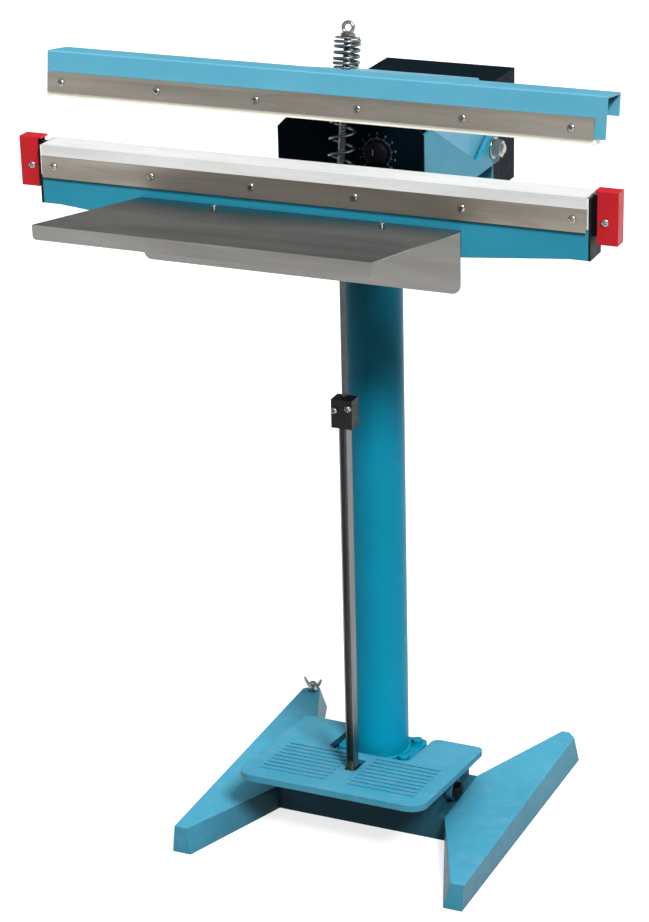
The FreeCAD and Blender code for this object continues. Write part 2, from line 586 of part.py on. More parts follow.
def make_hinge():
    bolt = new_body("pivot_bolt")
    middle = ("pivot_back", "pivot_up")
    layer(bolt, "YZ", "-bracket_half - 2", "bracket_half + 15", circles=[(middle, "pivot_radius")])
    layer(bolt, "YZ", "-bracket_half - 9", "-bracket_half - 2",
          [hexagon(middle[0], middle[1], "nut_radius + 2")])
    nut = new_body("pivot_nut")
    layer(nut, "YZ", "bracket_half + 2", "bracket_half + 12",
          [hexagon(middle[0], middle[1], "nut_radius + 2")], [(middle, "pivot_radius + fit")])
    washers = new_body("pivot_washers")
    for low, high in (("bracket_half", "bracket_half + 2"), ("-bracket_half - 2", "-bracket_half")):
        layer(washers, "YZ", low, high, circles=[(middle, "nut_radius + 4"),
                                                 (middle, "pivot_radius + fit")])
    bushes = new_body("pivot_bushes")
    for low, high in (("arm_half - 12", "arm_half + 2.5"), ("-arm_half - 2.5", "-arm_half + 12")):
        layer(bushes, "YZ", low, high, circles=[(("0", "0"), "bush_radius"),
                                                (("0", "0"), "pivot_radius + fit")])
    hang_on_hinge(bushes)


# ---- lower jaw -----------------------------------------------------------------------------

def make_lower_jaw():
    body = new_body("lower_jaw_body")
    crown = [("-jaw_half", "jaw_level"), ("-jaw_half", "jaw_end_low"), ("-crown_outer", "jaw_end_low"),
             ("-crown_inner", "jaw_low"), ("crown_inner", "jaw_low"), ("crown_outer", "jaw_end_low"),
             ("jaw_half", "jaw_end_low"), ("jaw_half", "jaw_level")]
    layer(body, "XZ", "-jaw_front", "-jaw_back", [crown])
    layer(body, "XY", "jaw_low - 1", "jaw_level - sheet", cut=True, polygons=[box_corners(
        "-jaw_half - 1", "jaw_half + 1", "-jaw_front + sheet", "-jaw_back - sheet")])
    round_edges(body, "1", lambda edge: runs_along(edge, ALONG_X)
                and edge.CenterOfMass.z > SIZES["jaw_level"] - 0.1)

    bar = new_body("heating_bar")
    layer(bar, "YZ", "-jaw_half", "jaw_half",
          [box_corners("-bar_front", "-bar_back", "jaw_level", "bar_top")])
    layer(bar, "XZ", "-bar_front", "-bar_front + screw_long", cut=True, circles=[
        (place, "screw_radius + fit") for place in row(SIX, "screw_pitch", "strip_screw_up")])

    ribbon = new_body("element_ribbon")
    middle = "-(bar_front + bar_back) / 2"
    layer(ribbon, "YZ", "-jaw_half - 6", "jaw_half + 6", [box_corners(
        f"{middle} - ribbon_half", f"{middle} + ribbon_half",
        "bar_top", "bar_top + film")])
    cover = new_body("ptfe_cover")
    layer(cover, "YZ", "-strip_half", "strip_half", [[
        ("-bar_front - film", "jaw_level + 1"), ("-bar_front", "jaw_level + 1"),
        ("-bar_front", "bar_top + film"), ("-bar_back", "bar_top + film"),
        ("-bar_back", "bar_top + 2 * film"), ("-bar_front - film", "bar_top + 2 * film")]])
    layer(cover, "XZ", "-bar_front - film", "-bar_front", cut=True, circles=[
        (place, "screw_radius + fit") for place in row(SIX, "screw_pitch", "strip_screw_up")])

    strip = new_body("lower_clamp_strip")
    layer(strip, "XZ", "-face_front", "-face_front + strip_thick",
          [box_corners("-strip_half", "strip_half", "strip_low", "strip_low + strip_high")],
          [(place, "screw_radius + fit") for place in row(SIX, "screw_pitch", "strip_screw_up")])
    screws = new_body("lower_strip_screws")
    places = row(SIX, "screw_pitch", "strip_screw_up")
    layer(screws, "XZ", "-face_front", "-bar_front + screw_long - 1",
          circles=[(place, "screw_radius") for place in places])
    layer(screws, "XZ", "-face_front - screw_head_high", "-face_front",
          circles=[(place, "screw_head") for place in places])
    rear = new_body("rear_clamp_strip")
    layer(rear, "XZ", "-bar_back", "-bar_back + strip_thick",
          [box_corners("-strip_half", "strip_half", "bar_top - 22", "bar_top - 4")])


def make_jaw_ends():
    blocks = new_body("terminal_blocks")
    plate = box_corners("-jaw_front", "-jaw_back", "jaw_end_low", "bar_top - 1")
    block = box_corners("-cap_front + cap_wall + 1", "-cap_back - cap_wall - 1",
                        "cap_low + cap_wall + 5", "bar_top - 1")
    for outer, outline in (("jaw_half + end_plate", plate), ("block_outer", block)):
        layer(blocks, "YZ", "jaw_half", outer, [outline])
        layer(blocks, "YZ", f"-({outer})", "-jaw_half", [outline])
    cap_screw_up = "(cap_low + cap_top) / 2 - 4"
    cap_screw_across = "(cap_inner + cap_outer) / 2 - 3"
    screws = new_body("end_cap_screws")
    for name, side in (("left_end_cap", -1), ("right_end_cap", 1)):
        cap = new_body(name)
        spans = {}
        for part, inner, outer in (("shell", "cap_inner", "cap_outer"),
                                   ("hollow", "cap_inner", "cap_outer - cap_wall"),
                                   ("tab", "cap_reach", "cap_inner")):
            spans[part] = (inner, outer) if side > 0 else (f"-({outer})", f"-({inner})")
        layer(cap, "YZ", *spans["shell"],
              [box_corners("-cap_front", "-cap_back", "cap_low", "cap_top")])
        layer(cap, "YZ", *spans["hollow"], cut=True, polygons=[box_corners(
            "-cap_front + cap_wall", "-cap_back - cap_wall", "cap_low + cap_wall",
            "cap_top - cap_wall")])
        layer(cap, "YZ", *spans["tab"], [box_corners(
            "-cap_back - cap_tab", "-cap_back", "cap_top - cap_wall", "cap_top")])
        place = (f"{side} * ({cap_screw_across})", cap_screw_up)
        layer(cap, "XZ", "-cap_front", "-cap_front + cap_wall", cut=True,
              circles=[(place, "screw_radius + fit")])
        layer(blocks, "XZ", "-cap_front + cap_wall + 1", "-cap_front + screw_long", cut=True,
              circles=[(place, "screw_radius + fit")])
        layer(screws, "XZ", "-cap_front", "-cap_front + screw_long - 1",
              circles=[(place, "screw_radius")])
        layer(screws, "XZ", "-cap_front - screw_head_high", "-cap_front",
              circles=[(place, "screw_head")])


def make_tray():
    """A folded tray: a flange screwed to the bracket, a shelf rising to the front and a lip."""
    body = new_body("tray")
    slope_drop = "tray_sheet * 1.02"
    left = "-tray_half - tray_left"
    right = "tray_half - tray_left"
    layer(body, "YZ", left, right, [[
        ("-tray_back", "tray_low"), ("-tray_back", "tray_back_up"), ("-tray_front", "tray_front_up"),
        ("-tray_front", "tray_front_up - tray_lip"),
        ("-tray_front + tray_sheet", "tray_front_up - tray_lip"),
        ("-tray_front + tray_sheet", f"tray_front_up - {slope_drop}"),
        ("-tray_back - tray_sheet", f"tray_back_up - {slope_drop}"),
        ("-tray_back - tray_sheet", "tray_low")]])
    ends = (-SIZES["tray_half"] - SIZES["tray_left"], SIZES["tray_half"] - SIZES["tray_left"])
    for radius, level in (("10", SIZES["tray_low"]), ("4", SIZES["tray_front_up"] - SIZES["tray_lip"])):
        round_edges(body, radius, lambda edge: runs_along(edge, FreeCAD.Vector(0, 1, 0))
                    and abs(edge.CenterOfMass.z - level) < 0.1
                    and min(abs(edge.CenterOfMass.x - end) for end in ends) < 0.1)
    layer(body, "XZ", "-tray_back - tray_sheet", "-tray_back", cut=True, circles=[
        (place, "stud_radius + fit") for place in TRAY_SCREWS])
    studs = [(f"stud_right {sign} stud_across", "-stud_front") for sign in "-+"]
    layer(body, "XY", "tray_back_up - 3", "tray_front_up", cut=True,
          circles=[(place, "stud_radius + fit") for place in studs])

    screws = new_body("tray_screws")
    layer(screws, "XZ", "-tray_back - tray_sheet", "-tray_back + bracket_thick + 4",
          circles=[(place, "stud_radius") for place in TRAY_SCREWS])
    layer(screws, "XZ", "-tray_back - tray_sheet - 3", "-tray_back - tray_sheet",
          circles=[(place, "stud_radius + 2.5") for place in TRAY_SCREWS])
    studs_body = new_body("tray_studs")
    layer(studs_body, "XY", "tray_back_up", "tray_back_up + stud_high",
          circles=[(place, "stud_radius") for place in studs])


# ---- upper jaw -----------------------------------------------------------------------------

def make_upper_jaw():
    body = new_body("upper_jaw_body")
    layer(body, "YZ", "-up_left", "up_right", [[
        ("-up_front", "up_low"), ("-up_front + sheet", "up_low"),
        ("-up_front + sheet", "up_top - sheet"), ("-up_back - sheet", "up_top - sheet"),
        ("-up_back - sheet", "up_back_low"), ("-up_back", "up_back_low"),
        ("-up_back", "up_top"), ("-up_front", "up_top")]])
    top = SIZES["up_top"]
    round_edges(body, "2", lambda edge: runs_along(edge, ALONG_X)
                and edge.CenterOfMass.z > top - 0.1)
    places = row(SIX, "up_screw_pitch", "up_screw_up")
    holes = [(place, "screw_radius + fit") for place in places]
    layer(body, "XZ", "-up_front", "-up_front + sheet", cut=True, circles=holes)
    hang_on_hinge(body)

    strip = new_body("upper_clamp_strip")
    layer(strip, "XZ", "-up_front - 2", "-up_front", [box_corners(
        "up_strip_right - up_strip_half", "up_strip_right + up_strip_half",
        "up_strip_low", "up_strip_low + up_strip_high")], holes)
    hang_on_hinge(strip)

    screws = new_body("upper_strip_screws")
    layer(screws, "XZ", "-up_front - 2", "-up_front + screw_long - 1",
          circles=[(place, "screw_radius") for place in places])
    layer(screws, "XZ", "-up_front - 2 - screw_head_high", "-up_front - 2",
          circles=[(place, "screw_head") for place in places])
    hang_on_hinge(screws)

    holder = new_body("silicone_holder")
    layer(holder, "YZ", "-up_left + 2", "up_right - 12", [box_corners(
        "-up_front + sheet", "-holder_back", "holder_low", "up_back_low")])
    layer(holder, "XZ", "-up_front + sheet", "-up_front + screw_long", cut=True, circles=holes)
    hang_on_hinge(holder)

    silicone = new_body("silicone_strip")
    layer(silicone, "YZ", "-up_left - 2", "up_right - 10", [box_corners(
        "-silicone_front", "-silicone_back", "silicone_low", "up_low")])
    hang_on_hinge(silicone)


def make_upper_arm():
    """The yoke of the upper jaw: a wide top plate with side skirts down to the hinge."""
    body = new_body("upper_arm")
    layer(body, "YZ", "-arm_half", "arm_half", [[
        ("-up_back", "arm_front_up"), ("-arm_rear", "arm_rear_up"), ("-arm_rear + 16", "arm_rear_up - 14"),
        ("lug_radius - 4", "12"), ("lug_radius - 6", "-12"), ("0", "-14"),
        ("-43", "-13"), ("-183", "35"), ("-arm_step + 2", "49"), ("-arm_step", "85"),
        ("-up_back", "up_back_low")]])
    drop = "arm_wall * 1.01"
    layer(body, "YZ", "-arm_half + arm_wall", "arm_half - arm_wall", cut=True, polygons=[[
        ("-up_back - 1", f"arm_front_up - {drop}"), ("-arm_rear", f"arm_rear_up - {drop}"),
        ("-arm_rear + 14", f"arm_rear_up - 14 - {drop}"), ("lug_radius - 3", "6"),
        ("lug_radius", "-lug_radius - 5"), ("-up_back - 1", "-lug_radius - 5")]])
    layer(body, "YZ", "-arm_half - 1", "arm_half + 1", cut=True,
          circles=[(("0", "0"), "bush_radius")])
    layer(body, "XY", "arm_rear_up", "arm_front_up + 1", cut=True,
          circles=[(("0", "-rod_hole_back"), "rod_hole_radius")])
    hang_on_hinge(body)


# ---- controls ------------------------------------------------------------------------------

def make_controls():
    panel = new_body("front_panel")
    face = "-cheek_front"
    layer(panel, "XZ", f"{face} - panel_thick", face, [[
        ("-panel_left", "panel_low"), ("bracket_half", "panel_low"), ("bracket_half", "cheek_top"),
        ("bracket_half - 6", "panel_top"), ("-panel_left + panel_cut", "panel_top"),
        ("-panel_left", "panel_top - panel_cut")]],
        [(("knob_across", "knob_up"), "knob_shaft + fit"), (("lamp_across", "lamp_up"), "lamp_radius")])
    layer(panel, "YZ", "-panel_left", "-panel_left + panel_thick", [box_corners(
        face, face + " + 40", "panel_low", "panel_top - panel_cut")])
    layer(panel, "XZ", f"{face} - panel_thick", face, cut=True, polygons=[box_corners(
        "-switch_across - 10", "-switch_across + 10", "switch_up - 7", "switch_up + 7")])

    board = new_body("timer_board")
    layer(board, "XZ", face + " + 14", face + " + 16",
          [box_corners("-board_half", "board_half", "panel_low + 6", "panel_low + board_high")],
          [(("knob_across", "knob_up"), "knob_shaft + fit")])

    knob = new_body("timer_knob")
    outside = f"{face} - panel_thick"
    middle = ("knob_across", "knob_up")
    layer(knob, "XZ", f"{outside} - knob_long", f"{outside} - 0.5", circles=[(middle, "knob_radius")])
    layer(knob, "XZ", f"{outside} - 0.5", face + " + 17", circles=[(middle, "knob_shaft")])
    layer(knob, "XZ", f"{outside} - knob_long", f"{outside} - knob_long + 1", cut=True, polygons=[
        box_corners("knob_across - 0.8", "knob_across + 0.8", "knob_up + 3", "knob_up + knob_radius + 1")])

    housing = new_body("switch_housing")
    layer(housing, "XZ", f"{outside} - switch_rim", face + " + 12", [box_corners(
        "-switch_across - 9.9", "-switch_across + 9.9", "switch_up - 6.9", "switch_up + 6.9")])
    layer(housing, "XZ", f"{outside} - switch_rim", face + " + 4", cut=True, polygons=[box_corners(
        "-switch_across - 8", "-switch_across + 8", "switch_up - 5.4", "switch_up + 5.4")])
    rocker = new_body("switch_rocker")
    layer(rocker, "YZ", "-switch_across - 7.8", "-switch_across + 7.8", [[
        ("-6.6", "4.4"), ("-5.4", "0"), ("-6.6", "-4.4"), ("1.5", "-3.2"), ("1.5", "3.2")]])
    layer(rocker, "YZ", "-switch_across - 7.95", "-switch_across + 7.95",
          circles=[(("0", "0"), "rocker_pin")])
    rocker.Placement.Rotation = FreeCAD.Rotation(FreeCAD.Vector(-1, 0, 0), SIZES["rocker_tilt"])
    rocker.setExpression("Placement.Base.y", linked("-cheek_front + 1"))
    rocker.setExpression("Placement.Base.z", linked("switch_up"))
    rocker.setExpression("Placement.Rotation.Angle", linked("rocker_tilt"))

    lamp = new_body("pilot_lamp")
    spot = ("lamp_across", "lamp_up")
    layer(lamp, "XZ", outside, face + " + 13", circles=[(spot, "lamp_radius - fit")])
    layer(lamp, "XZ", f"{outside} - 3", outside, circles=[(spot, "lamp_radius + 1.5")])


def make_rear_cover():
    cover = new_body("rear_cover")
    layer(cover, "XZ", "cover_front", "cover_back",
          [box_corners("-cover_left", "cover_right", "cover_low", "cover_top")])
    layer(cover, "XZ", "cover_front + cover_wall", "cover_back", cut=True, polygons=[box_corners(
        "-cover_left + cover_wall", "cover_right - cover_wall", "cover_low + cover_wall",
        "cover_top - cover_wall")])
    gland = ("-gland_across", "cover_low + fitting_up")
    fuse = ("fuse_across", "cover_low + fitting_up")
    corners = [(x, z) for x in ("-cover_left + corner_inset", "cover_right - corner_inset")
               for z in ("cover_low + corner_inset", "cover_top - corner_inset")]
    plate = new_body("rear_plate")
    layer(plate, "XZ", "cover_back", "cover_back + panel_thick", [[
        ("-ear_left", "cover_low"), ("cover_right", "cover_low"), ("cover_right", "cover_top"),
        ("-cover_left", "cover_top"), ("-cover_left", "ear_top"), ("-ear_left", "ear_top")]],
        [(gland, "fitting_radius + fit"), (fuse, "fitting_radius + fit")])
    for name, spot, head in (("cable_gland", gland, 9), ("fuse_holder", fuse, 8)):
        fitting = new_body(name)
        layer(fitting, "XZ", "cover_back - fitting_deep", "cover_back + panel_thick",
              circles=[(spot, "fitting_radius")])
        layer(fitting, "XZ", "cover_back + panel_thick", "cover_back + panel_thick + fitting_long",
              [hexagon(spot[0], spot[1], head)])
        if name == "cable_gland":
            layer(fitting, "XZ", "cover_back - fitting_deep", "cover_back + panel_thick + fitting_long",
                  cut=True, circles=[(spot, "bolt_radius")])
    layer(plate, "XZ", "cover_back", "cover_back + panel_thick", cut=True,
          circles=[(place, "screw_radius + fit") for place in corners])
    screws = new_body("cover_screws")
    layer(screws, "XZ", "cover_back - fitting_deep", "cover_back + panel_thick",
          circles=[(place, "screw_radius") for place in corners])
    layer(screws, "XZ", "cover_back + panel_thick", "cover_back + panel_thick + screw_head_high",
          circles=[(place, "screw_head") for place in corners])

    core = new_body("transformer_core")
    middle = "(core_right - core_left) / 2"
    left = ("-core_left + limb", f"{middle} - limb / 2")
    right = (f"{middle} + limb / 2", "core_right - limb")
    windows = [box_corners(*ends, "cover_low + window_low", "cover_low + window_high")
               for ends in (left, right)]
    layer(core, "XZ", "cover_front + core_front", "cover_back - core_back", [box_corners(
        "-core_left", "core_right", "cover_low + cover_wall", "cover_low + core_high")] + windows)
    coil = new_body("transformer_coil")
    layer(coil, "XZ", "cover_front + coil_out", "cover_back - 2", [box_corners(
        left[0] + " + coil_gap", right[1] + " - coil_gap", "cover_low + window_low + coil_gap",
        "cover_low + window_high - coil_gap")])
    layer(coil, "XZ", "cover_front + core_front - fit", "cover_back - core_back + fit", cut=True,
          polygons=[box_corners(left[1] + " - fit", right[0] + " + fit",
                                "cover_low + window_low - 2", "cover_low + window_high + 2")])


make_feet()
make_crossbar()
make_column()
make_levelling_screw()
make_pedal()
make_pedal_fittings()
make_pull_rod()
make_spring_rod()
make_head_bracket()
make_hinge()
make_lower_jaw()
make_jaw_ends()
make_tray()
make_upper_jaw()
make_upper_arm()
make_controls()
make_rear_cover()
doc.recompute()

for obj in doc.Objects:
    if "Invalid" in obj.State or "Error" in obj.State:
        raise RuntimeError(f"{obj.Label} ({obj.Name}) failed: {obj.State}")
for obj in PARTS:
    if obj.Shape.isNull() or not obj.Shape.isValid() or obj.Shape.Volume <= 0:
        raise RuntimeError(f"{obj.Label} has no valid shape")

os.makedirs("parts", exist_ok=True)
for obj in PARTS:
    obj.Shape.exportStep(f"parts/{obj.Label}.step")
    size = obj.Shape.BoundBox
    print(f"{obj.Label:22s} solids {len(obj.Shape.Solids)} volume {obj.Shape.Volume:10.0f} "
          f"x {size.XMin:.1f}..{size.XMax:.1f} y {size.YMin:.1f}..{size.YMax:.1f} "
          f"z {size.ZMin:.1f}..{size.ZMax:.1f}")
print(len(PARTS), "sub-parts")
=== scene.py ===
import json
import math

import bmesh
import bpy
from mathutils import Matrix, Vector, noise


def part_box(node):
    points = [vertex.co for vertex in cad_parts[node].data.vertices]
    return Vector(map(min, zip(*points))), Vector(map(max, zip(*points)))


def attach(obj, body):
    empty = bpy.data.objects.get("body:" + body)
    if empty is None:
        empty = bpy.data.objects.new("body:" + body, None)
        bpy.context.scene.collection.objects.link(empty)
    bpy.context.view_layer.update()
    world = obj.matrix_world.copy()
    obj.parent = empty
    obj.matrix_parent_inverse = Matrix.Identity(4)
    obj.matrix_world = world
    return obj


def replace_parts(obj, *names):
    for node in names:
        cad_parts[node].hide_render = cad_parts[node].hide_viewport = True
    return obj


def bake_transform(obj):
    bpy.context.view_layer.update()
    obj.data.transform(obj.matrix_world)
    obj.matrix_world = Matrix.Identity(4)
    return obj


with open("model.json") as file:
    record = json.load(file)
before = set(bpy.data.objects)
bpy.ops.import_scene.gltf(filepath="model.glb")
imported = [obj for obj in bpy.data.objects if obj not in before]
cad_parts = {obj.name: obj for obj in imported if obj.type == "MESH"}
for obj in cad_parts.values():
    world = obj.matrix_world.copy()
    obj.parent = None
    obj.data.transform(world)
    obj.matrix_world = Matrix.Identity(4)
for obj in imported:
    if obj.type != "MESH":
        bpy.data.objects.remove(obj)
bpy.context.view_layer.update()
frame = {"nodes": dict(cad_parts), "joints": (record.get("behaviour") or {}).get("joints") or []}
NODES = frame["nodes"]
JOINT_AT = {j["name"]: Vector(j["pos_m"]) for j in frame["joints"] if "pos_m" in j}
PEDAL_AXIS = JOINT_AT["pedal_press"]
JAW_AXIS = JOINT_AT["jaw_close"]
KNOB = JOINT_AT["timer_turn"]
SWITCH = JOINT_AT["switch_rock"]
LEVELLING = JOINT_AT["levelling_turn"]
PANEL_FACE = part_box("front_panel")[0][1]
FORWARD = Vector((0, -1, 0))
BACKWARD = Vector((0, 1, 0))
SMALL_HEAD = 0.0022  # height of the small cross-head screws
PRINT_HALF = 0.00003  # half the thickness of the printed characters

# The spring rod leans back from its eye; the springs sit on it, SPRING_SEAT and upward from the eye.
ROD_LEAN = math.radians(11.12)
ROD_AXIS = Vector((0.0, math.sin(ROD_LEAN), math.cos(ROD_LEAN)))
ROD_EYE = Vector((0, -0.101, 0.768))
SPRING_SEAT = 0.1884
SPRING_LONG = 0.0304
COIL_RADIUS = 0.0135
WIRE_RADIUS = 0.0017


# ---- shader helpers ------------------------------------------------------------------------

class Shader:
    """A node material with short calls for the nodes used here."""

    def __init__(self, name):
        self.mat = bpy.data.materials.new(name)
        self.mat.use_nodes = True
        self.tree = self.mat.node_tree
        self.bsdf = self.tree.nodes["Principled BSDF"]
        self.coords = self.node("ShaderNodeTexCoord").outputs["Object"]

    def node(self, kind, inputs=None, **settings):
        made = self.tree.nodes.new(kind)
        for key, val in settings.items():
            setattr(made, key, val)
        for key, val in (inputs or {}).items():
            self.feed(made.inputs[key], val)
        return made

    def feed(self, socket, val):
        if isinstance(val, bpy.types.NodeSocket):
            self.tree.links.new(val, socket)
        elif isinstance(val, (tuple, list)) and len(val) == 3 and socket.type == "RGBA":
            socket.default_value = (*val, 1)
        else:
            socket.default_value = val

    def set(self, **inputs):
        for key, val in inputs.items():
            self.feed(self.bsdf.inputs[key.replace("_", " ").title()
                                       .replace("Ior", "IOR")], val)
        return self

    def stretch(self, scale, rotation=(0, 0, 0)):
        return self.node("ShaderNodeMapping", {"Vector": self.coords, "Scale": scale,
                                               "Rotation": rotation}).outputs[0]

    def noise(self, scale, detail=3, roughness=0.5, vector=None, distortion=0.0):
        return self.node("ShaderNodeTexNoise", {
            "Vector": vector or self.coords, "Scale": scale, "Detail": detail,
            "Roughness": roughness, "Distortion": distortion}).outputs["Fac"]

    def ramp(self, fac, low, high, a=0.0, b=1.0):
        """fac from low..high mapped to a..b, clamped."""
        return self.node("ShaderNodeMapRange", {
            "Value": fac, "From Min": low, "From Max": high, "To Min": a, "To Max": b}).outputs[0]

    def math(self, kind, a, b=0.0):
        return self.node("ShaderNodeMath", {0: a, 1: b}, operation=kind).outputs[0]

    def mix(self, fac, a, b):
        made = self.node("ShaderNodeMix", data_type="RGBA")
        self.feed(made.inputs[0], fac)
        self.feed(made.inputs[6], a)
        self.feed(made.inputs[7], b)
        return made.outputs[2]

    def bump(self, height, strength=0.2, distance=0.001, normal=None):
        made = self.node("ShaderNodeBump", {"Height": height, "Strength": strength,
                                            "Distance": distance})
        if normal:
            self.feed(made.inputs["Normal"], normal)
        return made.outputs[0]

    def edges(self, radius=0.0015, samples=4):
        """1 on worn outer edges, 0 on flats: how far a rounded normal leaves the true one."""
        bevel = self.node("ShaderNodeBevel", {"Radius": radius}, samples=samples).outputs[0]
        flat = self.node("ShaderNodeNewGeometry").outputs["Normal"]
        dot = self.node("ShaderNodeVectorMath", operation="DOT_PRODUCT",
                        inputs={0: bevel, 1: flat}).outputs["Value"]
        return self.ramp(dot, 0.97, 0.8)

    def grime(self, distance=0.02, samples=4):
        """Mask for painted shade: 1 in tight corners, 0 in the open."""
        occluded = self.node("ShaderNodeAmbientOcclusion", {"Distance": distance},
                             samples=samples).outputs["AO"]
        return self.ramp(occluded, 0.75, 0.2)


def enamel(name, colour, deep, cast=0.0, rough=0.34, gloss=0.3, coat=0.1):
    """Stoved enamel: a little mottled in colour, orange-peel in the gloss, chipped pale on edges,
    with painted shade in corners; cast parts also get painted shade on faces that turn sideways or
    down, and a painted contact shadow.
    """
    s = Shader(name)
    cloud = s.noise(9, 4, 0.6)
    base = s.mix(s.ramp(cloud, 0.3, 0.7), colour, deep)
    dust = s.noise(60, 6, 0.75)
    # Painted shade: the colour is darkened towards a deep tone in corners.
    base = s.mix(s.math("MULTIPLY", s.grime(0.03), 0.55), base, tuple(c * 0.25 for c in deep))
    chip = s.math("MULTIPLY", s.edges(), s.ramp(s.noise(170, 3, 0.7), 0.6, 0.68))
    base = s.mix(s.math("MULTIPLY", chip, 0.7), base, (0.30, 0.33, 0.34))
    peel = s.bump(s.noise(420, 2), 0.05 + 0.06 * cast, 0.0006)
    if cast:
        rubbed = s.ramp(s.noise(38, 6, 0.72), 0.5, 0.66)
        pale = tuple(0.75 * c + 0.12 for c in colour)
        base = s.mix(s.math("MULTIPLY", rubbed, 0.34), base, pale)
        # Painted shade: faces that turn sideways or down are darkened, as if lit only from above.
        up = s.node("ShaderNodeSeparateXYZ", {
            0: s.node("ShaderNodeNewGeometry").outputs["Normal"]}).outputs[2]
        shade = tuple(c * 0.25 for c in deep)
        base = s.mix(s.ramp(up, 0.2, 0.7, 0.36, 0.0), base, shade)
        # Painted shadow: a deep tone where other parts close in within 15 cm, as a contact shadow.
        base = s.mix(s.math("MULTIPLY", s.grime(0.15), 0.9), base, shade)
        lumps = s.math("ADD", s.noise(130, 5, 0.7), s.noise(28, 3))
        peel = s.bump(lumps, cast, 0.0016, peel)
    s.set(base_color=base, roughness=s.ramp(dust, 0.3, 0.8, rough, rough + 0.16),
          specular_ior_level=gloss, coat_weight=coat, coat_roughness=0.12, normal=peel)
    return s.mat


def brushed(name, colour, along, rough=0.3, lines=1.0, tint=(0.50, 0.47, 0.43), drawn=0.55):
    """Brushed sheet: fine lines in one direction, faint smears and warm stains."""
    s = Shader(name)
    scale = [900.0, 900.0, 900.0]
    scale[along] = 6.0
    grain = s.noise(1.0, 4, 0.75, s.stretch(tuple(scale)))
    smear_scale = [26.0, 26.0, 26.0]
    smear_scale[along] = 3.0
    smear = s.noise(1.0, 5, 0.6, s.stretch(tuple(smear_scale)), 0.4)
    base = s.mix(s.ramp(smear, 0.35, 0.75), colour, tint)
    # Painted shade: the colour is darkened in tight corners.
    base = s.mix(s.math("MULTIPLY", s.grime(0.01), 0.5), base, (0.08, 0.075, 0.07))
    level = s.math("ADD", s.ramp(grain, 0.2, 0.8, rough - 0.08, rough + 0.1),
                   s.ramp(smear, 0.3, 0.8, -0.04, 0.10))
    s.set(base_color=base, metallic=1.0, roughness=level, anisotropic=drawn,
          normal=s.bump(grain, 0.10 * lines, 0.0003))
    return s.mat


def bright(name, colour, rough=0.18, thread=None):
    """Bright zinc plate, with cloudy spots, and thread lines where a pitch and a line are given."""
    s = Shader(name)
    cloud = s.noise(45, 5, 0.7)
    base = s.mix(s.ramp(cloud, 0.45, 0.8), colour, tuple(c * 0.72 for c in colour))
    # Painted shade: the colour is darkened in tight corners.
    base = s.mix(s.math("MULTIPLY", s.grime(0.006), 0.7), base, (0.05, 0.045, 0.04))
    normal = s.bump(s.noise(260, 3), 0.06, 0.0004)
    if thread:
        axis, pitch = thread
        along = s.node("ShaderNodeVectorMath", operation="DOT_PRODUCT",
                       inputs={0: s.coords, 1: axis}).outputs["Value"]
        wave = s.math("SINE", s.math("MULTIPLY", along, 2 * math.pi / pitch))
        normal = s.bump(wave, 0.9, 0.0006, normal)
    s.set(base_color=base, metallic=1.0, roughness=s.ramp(cloud, 0.3, 0.8, rough, rough + 0.2),
          normal=normal)
    return s.mat


def plastic(name, colour, rough=0.4, grain=0.12, scale=500, coat=0.0, subsurface=0.0, glow=0.0,
            level=0.4):
    """Moulded plastic or rubber: fine spark grain, slight shade changes, paler rubbed edges; painted
    shade in corners, and painted light as emission where glow is given.
    """
    s = Shader(name)
    cloud = s.noise(22, 4, 0.6)
    base = s.mix(s.ramp(cloud, 0.3, 0.75), colour, tuple(c * 0.82 for c in colour))
    base = s.mix(s.math("MULTIPLY", s.edges(0.0012), 0.25), base,
                 tuple(min(1, c * 1.3 + 0.06) for c in colour))
    # Painted shade: the colour is darkened in tight corners.
    base = s.mix(s.math("MULTIPLY", s.grime(0.01), 0.5), base, tuple(c * 0.2 for c in colour))
    # glow adds emission in the surface's own colour: painted light on a part that is no lamp.
    s.set(base_color=base, roughness=s.ramp(s.noise(80, 4), 0.3, 0.7, rough, rough + 0.12),
          coat_weight=coat, subsurface_weight=subsurface, subsurface_scale=0.002,
          emission_color=base, emission_strength=glow, specular_ior_level=level,
          normal=s.bump(s.noise(scale, 3), grain, 0.0004))
    return s.mat


def powder(name, colour):
    """Black powder coat: fine even sand texture, dull sheen, grey scuffs."""
    s = Shader(name)
    scuff = s.ramp(s.noise(1.0, 6, 0.75, s.stretch((14, 60, 14), (0, 0.3, 0.5)), 0.6), 0.62, 0.78)
    base = s.mix(s.math("MULTIPLY", scuff, 0.05), colour, (0.22, 0.24, 0.25))
    base = s.mix(s.math("MULTIPLY", s.edges(), 0.20), base, (0.16, 0.17, 0.18))
    s.set(base_color=base, roughness=s.ramp(s.noise(120, 4), 0.3, 0.7, 0.42, 0.56),
          specular_ior_level=0.025,
          normal=s.bump(s.noise(950, 3, 0.7), 0.22, 0.0004))
    return s.mat


def woven(name, colour, second, pitch):
    """Coated glass cloth: a fine square weave under a satin skin."""
    s = Shader(name)
    turn = s.node("ShaderNodeSeparateXYZ", {"Vector": s.coords}).outputs
    step = 2 * math.pi / pitch
    across = s.math("SINE", s.math("MULTIPLY", turn[0], step))
    folded = s.math("ADD", turn[1], turn[2])
    down = s.math("SINE", s.math("MULTIPLY", folded, step))
    weave = s.math("MULTIPLY", across, down)
    stain = s.noise(1.0, 5, 0.65, s.stretch((9, 60, 60)), 0.5)
    base = s.mix(s.ramp(stain, 0.42, 0.78), colour, second)
    base = s.mix(s.math("MULTIPLY", s.ramp(weave, -1, 1), 0.12), base, second)
    s.set(base_color=base, roughness=s.ramp(stain, 0.3, 0.7, 0.28, 0.42), sheen_weight=0.15,
          normal=s.bump(weave, 0.25, 0.0003))
    return s.mat


